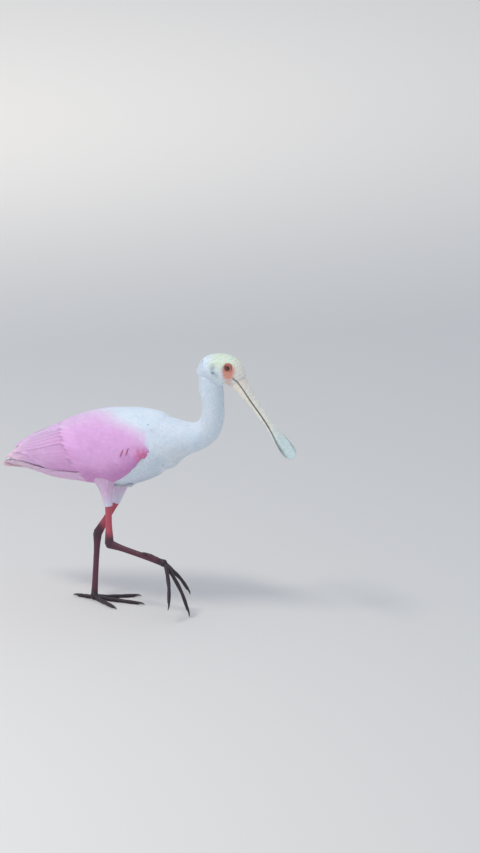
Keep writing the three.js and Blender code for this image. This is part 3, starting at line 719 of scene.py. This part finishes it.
def nape_coat():
    """Short ruffled feathers at the back of the skull, which point down the neck."""
    coat = Coat("coat_nape", contour_vane, "white_plumage", 4, 3)
    for side, _ in SIDES:
        def surface(turn, s, lift, side=side):
            return skull.at(s, turn, lift) * [1, side, 1]
        body_feathers(coat, surface, np.linspace(-84, 84, 54), constant(0.03),
                      lambda t: 0.3 + 0.17 * step(60, -50, t), 1.9, constant(8), constant(1.9),
                      constant(-0.5), seed=3 + side, rise=0.8, e=(0.5, 0.002),
                      tint=lambda p: mix(WHITE, COOL, 0.3 + 0.3 * ripple(p, 20, 15)))
    coat.done()


def trunk_coats():
    """The coat of the trunk: breast, mantle over the wings' upper edges, and belly and vent, with
    a tuft of thin wisps between the thighs and the breast."""
    breast = Coat("coat_breast", contour_vane, "white_plumage", 5, 3)
    mantle = Coat("coat_mantle", contour_vane, "white_plumage", 6, 5)
    belly = Coat("coat_belly", contour_vane, "white_plumage", 5, 3)
    wisps = 46
    for side, _ in SIDES:
        def surface(x, angle, lift, side=side):
            """The outline, sunk above the wing's upper edge and where the neck begins, and raised
            a little along the wing's lower edge."""
            above, below = angle - wing_angle(x, 1.0), angle - wing_angle(x, 0.0)
            sunk = 3.0 * step(0, 24, above) * step(-30, 40, x) * step(165, 135, x)
            sunk = sunk + 2.4 * step(143, 157, x)
            edge = step(7, -7, above) * (angle > 30)
            sunk = sunk + 1.3 * edge * step(25, -15, x)
            sunk = sunk - 0.7 * np.exp(-(below / 9) ** 2) * step(20, 0, x) * (angle < 0)
            return coat_at(side, x, angle, lift - sunk)

        def off_wing(x, angle):
            return ((x > WING_FRONT) | (angle > wing_angle(x, 1.0) + 4)
                    | (angle < wing_angle(x, 0.0) - 14))

        body_feathers(breast, surface, np.arange(158, 112, -2.4), constant(-90), constant(90), 2.8,
                      lambda u: 14 + 0.06 * (150 - u), constant(3.6),
                      lambda u: -1.3 - 0.7 * step(135, 115, u), seed=10 + side, keep=off_wing)
        body_feathers(mantle, surface, np.arange(126, -104, -3.8),
                      lambda x: wing_angle(x, 0.86) - 4 * step(100, 121, x), constant(90), 4.2,
                      lambda u: 20 + 0.08 * (121 - u), constant(5.0),
                      lambda u: -0.7 - 0.3 * step(0, -60, u), seed=20 + side, thick=0.2, own=0.22,
                      vary=0.02)
        body_feathers(belly, surface, np.arange(124, -132, -3.4), constant(-90),
                      lambda x: wing_angle(x, 0.0) + 16 - 14 * step(20, 110, x), 3.6,
                      lambda u: 17 + 0.03 * (112 - u), constant(4.6),
                      lambda u: -2.4 - 0.5 * step(112, 124, u) + 0.6 * step(20, -40, u),
                      seed=30 + side, rise=0.8)
        x, angle = rng.uniform(52, 90, wisps), rng.uniform(-90, -72, wisps)
        place = laid(surface, x, angle, rng.uniform(14, 24, wisps), 6.0, -3.0,
                     aim=rng.uniform(-30, 30, wisps))
        belly.add(place, rng.uniform(1.0, 1.9, wisps)[:, None, None], 0.2, lambda p, t: 0 * p + WHITE,
                  spread_bake(x, angle, (-140, -180), (124, 180)), 0.4, (0.5, 0.4, 0.1))
    for coat in (breast, mantle, belly):
        coat.done()


def thigh_coat():
    """Soft feathers down both thighs, paler at the ankle end."""
    coat = Coat("coat_thighs", contour_vane, "white_plumage", 5, 3)

    def tint(p):
        z = p[..., 2]
        return mix(mix(THIGH, BLUSH, step(200, 172, z)), WHITE, 0.45 * step(186, 164, z))
    for tube in thighs.values():
        body_feathers(coat, tube.at, np.linspace(0.14, 0.95, 26), constant(-180), constant(180), 2.6,
                      lambda u: 13 - 4 * u, lambda u: 3.0 - 1.0 * u, constant(-0.9), seed=40,
                      tint=tint, heading=1, e=(0.002, 0.5))
    coat.done()


# Wings and tail

# Flight feathers and coverts: how far their tips wander along the wing, thickness and outline
TIP_WANDER, VANE_THICK, VANE_OUTLINE = 2.5, 0.3, (0.6, 0.55, 0.16)


def wing_vanes(coat, side, count, roots, tips, half, seed, bow=0.0, tilt=0.8, own=0.35, shaft=0.2):
    """One tier of a folded wing, from its lowest feather to its highest. Ends are [x, share across
    the wing, lift]; each vane bends with the wing and its lower edge lies over the next one."""
    r = np.random.default_rng(seed)
    k = np.linspace(0, 1, count)[:, None]
    root = np.array(roots[0]) * (1 - k) + np.array(roots[1]) * k
    tip = np.array(tips[0]) * (1 - k) + np.array(tips[1]) * k
    tip[:, 0] += TIP_WANDER * np.sin(2.4 * np.arange(count)) + r.uniform(-1, 1, count)
    root, tip = root[:, None, None, :], tip[:, None, None, :]

    def place(t, across, up):
        end = root + (tip - root) * t[..., None]
        x, share, lift = end[..., 0], end[..., 1] + bow * np.sin(np.pi * t), end[..., 2]
        angle = wing_angle(x, share)
        _, h, w = outline_at(x)
        speed = np.radians(np.hypot(w * np.sin(np.radians(angle)), h * np.cos(np.radians(angle))))
        return coat_at(side, x, angle + across / speed, lift - tilt * across / half + up)

    def tint(p, t):
        share = root[..., 1] + (tip - root)[..., 1] * t
        edge = 1 + 0.05 * (np.broadcast_to(t, p.shape[:-1])[..., None] - 0.6)
        return wing_tint(p, share) * varied(count, 0.02, seed + 1) * edge

    bake = spread_bake(tip[:, 0, 0, 0], tip[:, 0, 0, 1], (-170, -0.1), (130, 1.1))
    coat.add(place, half, VANE_THICK, tint, bake, own, VANE_OUTLINE, shaft)


def wing(side, label):
    """The folded wing: a thin bed of skin, which reaches nearly to the wing's end, under primaries,
    secondaries, tertials and the coverts, which get shorter and softer towards the bend of the
    wing. Two dark red strokes lie on the coverts."""
    x, share = grid_of(np.linspace(WING_FRONT - 2, BED_TIP, 60), np.linspace(0, 1, 24))
    t = (WING_FRONT - x) / (WING_FRONT - BED_TIP)
    outer, inner = (coat_at(side, x, wing_angle(x, share), -spline(depths, t))
                    for depths in ([3.4, 4.0, 4.3, 4.4, 4.4, 5], [9, 13, 14, 13.5, 11, 7.5]))
    rings = np.concatenate([outer, inner[:, ::-1]], 1)
    tint = wing_tint(rings, np.full(rings.shape[:2], 0.5))
    piece(loft("wing_bed_" + label, rings, skin_finish, tint), "pink_plumage")
    flights = Coat("wing_flights_" + label, flight_vane, "pink_plumage", 20, 7)
    coverts = Coat("wing_coverts_" + label, contour_vane, "pink_plumage", 12, 5)
    seed = 50 + 10 * side
    # How many, the roots and the tips of the lowest and highest one, half width, and the rest
    tiers = (
        (flights, 6, ([-34, 0.24, -5.2], [-34, 0.54, -5.2]), ([-126, 0.08, -3.0], [-156, 0.6, -2.6]),
         6.5, {}),
        (flights, 15, ([52, 0.02, -4.9], [0, 0.66, -4.9]), ([-50, 0.02, -2.2], [-140, 0.62, -2.0]),
         8.0, dict(bow=-0.02)),
        (flights, 6, ([0, 0.64, -4.0], [8, 0.92, -4.0]), ([-136, 0.62, -1.5], [-108, 0.94, -1.1]),
         10.5, {}),
        (coverts, 18, ([84, 0.02, -3.9], [34, 0.96, -3.7]), ([8, 0.0, -1.5], [-60, 0.98, -1.2]),
         8.0, dict(own=0.3, shaft=0.1, tilt=0.6)),
        (coverts, 20, ([96, 0.03, -3.5], [60, 0.96, -3.4]), ([34, 0.03, -1.3], [-22, 0.96, -1.1]),
         7.5, dict(own=0.28, shaft=0.06, tilt=0.5)),
        (coverts, 20, ([104, 0.04, -3.1], [78, 0.96, -3.0]), ([56, 0.03, -0.9], [12, 0.96, -0.8]),
         7.0, dict(own=0.25, shaft=0.0, tilt=0.4)))
    for k, (coat, count, roots, tips, half, more) in enumerate(tiers):
        wing_vanes(coat, side, count, roots, tips, half, seed + k, **more)
    flights.done("wing_" + label)
    coverts.done()
    lesser = Coat("wing_lesser_" + label, contour_vane, "pink_plumage", 5, 3)

    def surface(x, share, lift):
        return coat_at(side, x, wing_angle(x, share), lift)

    def lesser_tint(p):
        low, high = (wing_angle(p[..., 0], share) for share in (0, 1))
        return wing_tint(p, (body_angle(p) - low) / (high - low))

    body_feathers(lesser, surface, np.arange(120, 24, -2.6), constant(-0.03), constant(1.0), 3.2,
                  lambda u: 11 + 0.12 * (119 - u), lambda u: 3.2 + 0.018 * (119 - u), constant(-0.8),
                  seed=seed + 6, rise=0.6, tint=lesser_tint, own=0.25, e=(0.5, 0.005), vary=0.03)
    lesser.done()
    marks = Coat("wing_marks_" + label, contour_vane, "pink_plumage", 9, 3)

    def upright(angle, x, lift):
        return coat_at(side, x, angle, lift)
    place = laid(upright, np.array([8.0, 7.0]), np.array([90.0, 81.5]), np.array([13.0, 14.5]), 0.25,
                 0.15, aim=np.array([-20.0, -22.0]))
    marks.add(place, 1.25, 0.2, lambda p, t: mix(STROKE, PINK, 0.1 + 0.25 * t + 0 * p[..., 0]),
              np.array([[0.4, 0.5], [0.6, 0.5]]), 0.3, (0.3, 0.5, 0.15))
    marks.done()


def tail():
    """A closed fan of ten long feathers, the middle pair on top."""
    coat = Coat("tail_feathers", flight_vane, "tail_plumage", 18, 7)
    root, tip = np.array([-78, 0, 225.5]), np.array([-159.6, 0, 210.5])
    rank = np.repeat(np.arange(5), 2)[:, None, None]
    side = np.tile([LEFT, RIGHT], 5)[:, None, None]

    def place(t, across, up):
        y = side * (1.2 + (1.1 + 1.6 * t) * rank) + across
        middle = root + (tip - root) * (t * (1 - 0.012 * rank))[..., None]
        drop = -2 * np.sin(np.pi * t) - 0.004 * y ** 2 - 0.7 * (rank + (side < 0) * 0.5) + up
        return middle + np.stack(np.broadcast_arrays(0 * y, y, drop), -1)

    def tint(p, t):
        warm = mix(mix(BLUSH, BUFF, 0.8), TAIL_WARM, 0.2 + 0.2 * ripple(p, 20, 60))
        return warm * varied(10, 0.03, 61)

    def covert(over):
        def put(t, across, up):
            y = side * (0.6 + (1.6 + 1.5 * t) * rank) + across
            middle = root + over + (tip - root) * (t * (0.86 + over[0] / 83 - 0.03 * rank))[..., None]
            return middle + np.stack(np.broadcast_arrays(0 * y, y, -0.006 * y ** 2 - 0.5 * rank + up), -1)
        return put

    bake = np.stack([np.linspace(0.1, 0.9, 10), np.full(10, 0.5)], 1)
    coat.add(place, 8.5, 0.4, tint, bake, 0.5, (0.55, 0.6, 0.3), 0.2)
    for over in ((-6, 0, 3.0), (-2, 0, 6.0), (-3, 0, -3.6)):
        coat.add(covert(np.array(over)), 6.5, 0.3, tint, bake + [0, 0.1], 0.4, (0.6, 0.6, 0.2), 0.1)
    coat.done("tail")


# Bill

BILL_WIDTH = [13.5, 12.5, 11.5, 11, 11, 11.5, 15.5, 20.7, 23, 21.85]
UPPER_HEIGHT = [14, 12.4, 9.1, 8, 7.8, 6.4, 5.6, 3.7, 2.6, 2]
LOWER_HEIGHT = [14, 11.5, 9.1, 7.1, 6.8, 5.1, 4.6, 3.7, 2.4, 1.8]


def mandible(name, node, upward):
    """One mandible: sections of an ellipse cut by the mouth's plane, which lies a share of the way
    up the bill. Width and height are read along the bill, and the end is rounded like a spoon.
    Grooves run down the sides of the upper one, with a slit nostril near its root on each side,
    and the spoon is lightly wrinkled. Painted shade darkens the cutting edges along the mouth."""
    rows, arc, flat = 190, 37, 14
    t = np.linspace(0.002, 0.995, rows)[:, None]
    tip = np.where(t > 0.9, np.sqrt(np.clip(1 - ((t - 0.9) / 0.1) ** 2, 0, 1)), 1)
    w = (spline(BILL_WIDTH, t) - INSET) * tip
    high, low = ((spline(rows, t) - INSET) * (0.55 + 0.45 * tip) for rows in (UPPER_HEIGHT, LOWER_HEIGHT))
    cut, first = high * MOUTH_SHARE, math.asin(MOUTH_SHARE)
    if upward > 0:
        turn = np.linspace(first, math.pi - first, arc)[None, :]
        rise = (np.sin(turn) - MOUTH_SHARE) / (1 - MOUTH_SHARE)
        groove = 0.6 * np.exp(-((np.abs(np.cos(turn)) - 0.72) / 0.08) ** 2) * step(0.86, 0.6, t)
        n = cut + 0.3 + (high - cut - 0.3) * rise - groove * step(0, 3, high)
    else:
        turn = np.linspace(-first, math.pi + first, arc)[None, :]
        n = -np.where(np.sin(turn) > 0, low, high - 0.7) * np.sin(turn)
    y = w * np.cos(turn)
    across = np.linspace(-1, 1, flat)[None, 1:-1] * math.cos(first)
    body = np.concatenate([np.abs(np.sin(turn)) + 0 * t, np.zeros((rows, flat - 2))], 1)
    y = np.concatenate([y, w * across], 1)
    n = np.concatenate([n, cut + 0.2 * upward + 0 * across], 1)
    along = t * BILL_LENGTH + 0 * y
    out = unit(np.stack([0 * y, y / (w + 0.5) ** 2, n / (high + 0.5) ** 2], -1))
    points = BILL_ROOT + BILL_ALONG * along[..., None] + BILL_UP * n[..., None] + ACROSS * y[..., None]
    rough = 0.14 * ripple(points, 4.5, 31) + 0.22 * ripple(points, 9, 32) * step(0.55, 0.75, t)
    dent = np.clip(rough + 0.2, 0, 0.5) * step(0.1, 0.5, body) * step(0.9, 2.0, high)
    if upward > 0:
        for side, _ in SIDES:
            dent = dent + 1.5 * body * np.exp(-((along - 14) / 6.0) ** 4 - ((y - side * 6.2) / 1.1) ** 4)
    points = points - dent[..., None] * (BILL_UP * out[..., 2:] + ACROSS * out[..., 1:2])
    drift = ripple(points, 12, 33)
    tint = mix(HORN_BASE, HORN_MID, step(0.1, 0.5, t + 0.04 * drift))
    tint = mix(tint, HORN_SPOON, step(0.55, 0.8, t + 0.05 * drift))
    if upward < 0:
        tint = mix(tint, HORN_CREAM, 0.7 * step(0.8, 0.4, t + 0 * y))
    mottle = step(0.35, 1.2, ripple(points, 7, 34)) * step(0.02, 0.2, t) * step(0.95, 0.4, t)
    tint = mix(tint, HORN_MOTTLE_AND_MOUTH_SHADE, 0.12 * mottle)
    tint = mix(tint, HORN_PINK, 0.5 * step(0.10, 0.0, t + 0.02 * drift))
    # Painted shade along the mouth's cutting edges, where the mandibles meet
    edge = step(1.35, 0.75, np.abs(n - cut)) * step(1.0, 0.85, t) * (np.abs(y) > 0.6 * w)
    tint = mix(tint, HORN_MOTTLE_AND_MOUTH_SHADE, (0.9 - 0.35 * step(0.5, 0.8, t)) * edge)
    piece(loft(name, points, horn_finish, tint), "bill_horn", node)


# Eyes

def eyes():
    """Round eyeballs: black pupil, red iris with fine rays, dark rim; each with a raised lid ring
    and a thinner fold outside it."""
    rows, columns = 96, 14
    for side, label in SIDES:
        look = unit(np.array([0.28, side * 0.95, 0.02]))
        right = unit(np.cross(look, [0, 0, 1.0]))
        high = np.cross(right, look)
        polar, turn = grid_of(np.linspace(0.02, math.pi - 0.02, 60), circle(64, 2 * math.pi))
        bulge = EYE_RADIUS - INSET
        points = EYE * [1, side, 1] + bulge * (
            look * np.cos(polar)[..., None] + right * (np.sin(polar) * np.cos(turn))[..., None] +
            high * (np.sin(polar) * np.sin(turn))[..., None])
        ray = bulge * np.sin(polar) + (polar > math.pi / 2) * 20
        iris = mix(IRIS, IRIS_RAY, 0.5 + 0.35 * np.sin(turn * 31) * np.sin(turn * 17 + 1))
        tint = mix(PUPIL + 0 * iris, iris, step(2.3, 2.7, ray))
        tint = mix(tint, IRIS_RIM, step(4.2, 5.0, ray))
        piece(loft("eyeball_" + label, points, eye_finish, tint), "eye", "eye_" + label)
        rings = []
        path, around = circle(rows, 2 * math.pi)[:, None], circle(columns, 2 * math.pi)[None, :]
        for wide, tall, thick, y, inward in ((5.7, 4.9, 1.15, 17.9, 0.0), (7.7, 6.8, 0.75, 17.0, 1.1)):
            crease = 1 + 0.1 * np.sin(path * 23) * np.sin(around) + 0.06 * np.sin(path * 41 + 1)
            out = thick * np.cos(around) * crease
            depth = thick * 0.85 * np.sin(around) * crease
            ring = np.stack(np.broadcast_arrays(
                EYE[0] + (wide + out) * np.cos(path) - 0.5 * inward,
                side * (y + depth - 0.035 * ((wide * np.cos(path)) ** 2) * 0.8 - inward * 0.6),
                EYE[2] + (tall + out) * np.sin(path)), -1).reshape(-1, 3)
            rings.append((ring, faced_out(ring, [grid_faces(rows + 1, columns) % (rows * columns)])))
        verts, faces = merged(rings)
        off = np.hypot(verts[:, 0] - EYE[0], verts[:, 2] - EYE[2])
        tint = mix(mix(EYE_RIM, RED_SKIN, step(5.5, 7.5, off)), LID_EDGE, step(5.0, 4.4, off))
        piece(add_mesh("lids_" + label, verts, faces, skin_finish, tint), "bare_head")


# Legs

SHANK_RED, ANKLE_DARK, TARSUS_WINE, TOE_DARK, CLAW_DARK, CLAW_PALE = (
    colour(c) for c in ("#bb5262", "#3b2d37", "#5b303f", "#2b252a", "#241d20", "#4a3f40"))
SHANK_TAPER = np.array([1, 0.95, 0.95, 1.15, 1.35])
TARSUS_TAPER = np.array([1.5, 1.05, 0.95, 0.95, 1.0, 1.15])
TOE_TAPER = np.array([1, 1.04, 0.9, 0.98, 0.8, 0.88, 0.7]) * 3.5


def foot_place(leg, points):
    """Points of a flat foot, as they are on the standing side, or turned down about Y and moved
    to the lifted foot."""
    if leg["side"] == LEFT:
        return points
    c, s = math.cos(LIFTED_PITCH), math.sin(LIFTED_PITCH)
    x, y, z = points[..., 0], points[..., 1], points[..., 2]
    foot = np.array(leg["foot"], float) - [0, 0, SOLE_TO_BALL]
    return np.stack([c * x + s * z, y, c * z - s * x], -1) + foot


def toe_tube(name, side, shares, heights, wide, high):
    """A tube along a toe: out along its own heading, dropped on the lifted foot by curl times the
    square of the share."""
    turn, long = math.radians(TOE_SPREAD[name] * side), TOE_LENGTHS[name]
    curl = 0.0 if side == LEFT else LIFTED_CURL
    path = [[math.cos(turn) * q * long, math.sin(turn) * q * long, z - curl * q * q * long]
            for q, z in zip(shares, heights)]
    return Tube(path, wide, high, (-math.sin(turn), math.cos(turn), 0))


def ball_rings(at, sizes):
    """Rings of an ellipsoid."""
    polar, turn = grid_of(np.linspace(0.05, math.pi - 0.05, 16), circle(20, 2 * math.pi))
    ball = np.stack([np.sin(polar) * np.cos(turn), np.sin(polar) * np.sin(turn), np.cos(polar)], -1)
    return at + ball * sizes


def distance_along(points, a, b):
    """How far along the line from a to b points lie, how far from it, and the line's length."""
    line = b - a
    way = (points - a) @ line / np.linalg.norm(line)
    off = np.linalg.norm(points - a - way[:, None] * unit(line), axis=1)
    return way, off, np.linalg.norm(line)


def leg_piece(label, leg):
    """Shank, ankle, tarsus, toes and webs as one surface. Ring scales stand out on the front of
    the tarsus and the top of the toes, as a cosine of the way along, and small ones elsewhere."""
    side = leg["side"]
    knee, ankle, foot = (np.array(leg[k], float) for k in ("knee", "ankle", "foot"))
    tubes = [Tube([knee + (knee - ankle) * 0.08, (knee + ankle) / 2, ankle], SHANK_TAPER * 5.0,
                  SHANK_TAPER * 5.6),
             Tube([ankle, (ankle + foot) / 2, foot], TARSUS_TAPER * 4.0, TARSUS_TAPER * 5.1)]
    parts = [rings_of(tube, 50, 20) for tube in tubes]
    parts += [ball_rings(ankle, [6.1, 7.2, 7.4]), ball_rings(foot, [6.2, 6.2, 6.2])]
    for name in TOE_LENGTHS:
        toe = toe_tube(name, side, (0, 0.3, 0.65, 1), (5.5, 3.1, 2.7, 2.2), TOE_TAPER, TOE_TAPER * 0.95)
        parts.append(foot_place(leg, rings_of(toe, 34, 16)))
    for name in ("inner", "outer"):
        angles = np.radians(np.linspace(TOE_SPREAD["middle"], TOE_SPREAD[name], 14) * side)
        reach = 0.34 * TOE_LENGTHS[name] * (1 - 0.5 * np.sin(np.linspace(0, math.pi, 14)))
        rim = np.stack([np.cos(angles) * reach, np.sin(angles) * reach], 1)
        web = [np.c_[edge, np.full(14, z)] for edge, z in
               ((rim * 0.1, 1.7), (rim, 1.7), (rim, 3.0), (rim * 0.1, 3.0))]
        parts.append(foot_place(leg, np.stack(web, 1)))
    points, faces, normals = one_surface(parts, scale_finish, LEG_VOXEL, 5)
    way, off, long = distance_along(points, ankle, foot)
    on_bone = step(-2, 4, way) * step(long + 2, long - 6, way) * step(12, 8, off)
    if side == LEFT:
        front, top = normals[:, 0] * 0.8, normals[:, 2]
        reach = np.hypot(points[:, 0], points[:, 1])
    else:
        front = normals[:, 0] * 0.8 - normals[:, 2] * 0.6
        top = normals[:, 0] * 0.7 + normals[:, 2] * 0.7
        reach = np.linalg.norm(points - (foot - [0, 0, SOLE_TO_BALL]), axis=1)
    scutes = 0.16 * np.cos(way * 2 * math.pi / 3.4) * on_bone * step(0.1, 0.6, front)
    on_toe = step(8, 13, reach) * (off > 6) * (way > long * 0.75)
    bands = 0.2 * np.cos(reach * 2 * math.pi / 3.0) * on_toe * step(0.1, 0.7, top)
    points = points + normals * (scutes + bands + 0.07 * ripple(points, 2.2, 41))[:, None]
    points[:, 2] = np.maximum(points[:, 2], 0.0)
    up = distance_along(points, ankle, knee)[0]
    tint = mix(TARSUS_WINE, SHANK_RED, step(8, 24, up + 2 * ripple(points, 12, 42)) * (way < 4))
    tint = mix(tint, ANKLE_DARK, np.exp(-(np.linalg.norm(points - ankle, axis=1) / 10) ** 2) * 0.85)
    tint = mix(tint, TOE_DARK, step(long - 16, long - 2, way) * (up < 0) * 0.9)
    # Painted shade in the grooves between the scales and painted light on their raised rings
    tint = tint * (1 + 0.9 * np.clip(scutes + bands, -0.25, 0.2))[:, None]
    piece(add_mesh("leg_" + label, points, faces, scale_finish, tint), "red_skin", "shank_" + label,
          "tarsus_" + label, *(f"toe_{label}_{name}" for name in TOE_LENGTHS))
    nails = []
    for name, long in TOE_LENGTHS.items():
        nail = toe_tube(name, side, ((long - 3) / long, (long + 5) / long, (long + 10) / long),
                        (2.7, 2.6, 0.95), [2.1, 1.75, 1.3, 0.85, 0.3], [2.2, 1.8, 1.35, 0.85, 0.3])
        rings = foot_place(leg, rings_of(nail, 22, 16))
        rings[..., 2] = np.maximum(rings[..., 2], 0.02)
        nails.append(closed_grid(rings))
    verts, faces = merged(nails)
    tint = mix(CLAW_DARK, CLAW_PALE, 0.4 + 0.3 * ripple(verts, 5, 43))
    piece(add_mesh("claws_" + label, verts, faces, claw_finish, tint), "claw_horn",
          *(f"claw_{label}_{name}" for name in TOE_LENGTHS))


# Floor, light and camera

# The camera's right, up and backward directions, the place that it looks at in metres along the
# first two, its distance, and its lens and sensor in millimetres
VIEW_RIGHT, VIEW_UP = np.array([0.9063, 0.4226, 0]), np.array([-0.1094, 0.2346, 0.9659])
VIEW_BACK = np.array([0.4082, -0.8754, 0.2588])
LOOK_RIGHT, LOOK_UP, VIEW_DISTANCE = 0.233, 0.276, 14.0
LENS, SENSOR = 369.2, 36
FLOOR_REACH, FLOOR_DROP = 30000, 0.4
# Name, place in metres, power, size and colour of each lamp
LAMPS = (("key", (-0.9, -1.5, 3.1), 82, 1.3, "#fffaf2"),
         ("fill", (2.6, -2.2, 1.2), 42, 2.2, "#eaf0ff"),
         ("rim", (-1.8, 2.4, 2.2), 38, 1.6, "#fff6ea"))


def linked(name, data, at):
    """A lamp or camera in the scene, at a place in metres."""
    made = bpy.data.objects.new(name, data)
    bpy.context.scene.collection.objects.link(made)
    made.location = at
    return made


def studio():
    """A wide pale floor, three soft lights, and the photo's own angle: the bird's heading turned
    25 degrees towards a camera that looks down by 15 degrees, from far away through a long lens."""
    finish, add = new_material("pale_paper")
    shader = add("ShaderNodeBsdfPrincipled", {"Base Color": rgba("#dedcd8"), "Roughness": 0.9})
    add("ShaderNodeOutputMaterial", {"Surface": shader.outputs["BSDF"]})
    reach = np.linspace(-FLOOR_REACH, FLOOR_REACH, 9)
    ground = np.stack(np.broadcast_arrays(reach[:, None], reach[None, :], -FLOOR_DROP), -1)
    add_mesh("floor", ground, [grid_faces(9, 9, closed=False)], finish)
    world = bpy.data.worlds.new("studio")
    bpy.context.scene.world = world
    world.use_nodes = True
    world.node_tree.nodes["Background"].inputs[0].default_value = rgba("#dfe6f2")
    world.node_tree.nodes["Background"].inputs[1].default_value = 0.85
    for name, at, power, size, code in LAMPS:
        lamp = bpy.data.lights.new(name, "AREA")
        lamp.energy, lamp.size, lamp.color = power, size, tuple(colour(code))
        aim = np.array([0.06, 0, 0.25]) - at
        linked(name, lamp, at).rotation_euler = (
            math.acos(-aim[2] / np.linalg.norm(aim)), 0, math.atan2(aim[0], -aim[1]))
    camera = bpy.data.cameras.new("camera")
    camera.sensor_fit, camera.sensor_height, camera.lens = "VERTICAL", SENSOR, LENS
    camera.dof.use_dof = False
    camera.clip_end = 100
    eye = linked("camera", camera,
                 VIEW_RIGHT * LOOK_RIGHT + VIEW_UP * LOOK_UP + VIEW_DISTANCE * VIEW_BACK)
    eye.rotation_euler = (math.acos(VIEW_BACK[2]), 0, math.atan2(VIEW_BACK[0], -VIEW_BACK[1]))
    bpy.context.scene.camera = eye
    bpy.context.scene.view_settings.view_transform = "Standard"


skin()
mandible("bill_upper_horn", "bill_upper", 1)
mandible("bill_lower_horn", "bill_lower", -1)
eyes()
for leg_label, leg_facts in LEGS.items():
    leg_piece(leg_label, leg_facts)
neck_coat()
nape_coat()
trunk_coats()
thigh_coat()
for wing_side, wing_label in SIDES:
    wing(wing_side, wing_label)
tail()
studio()
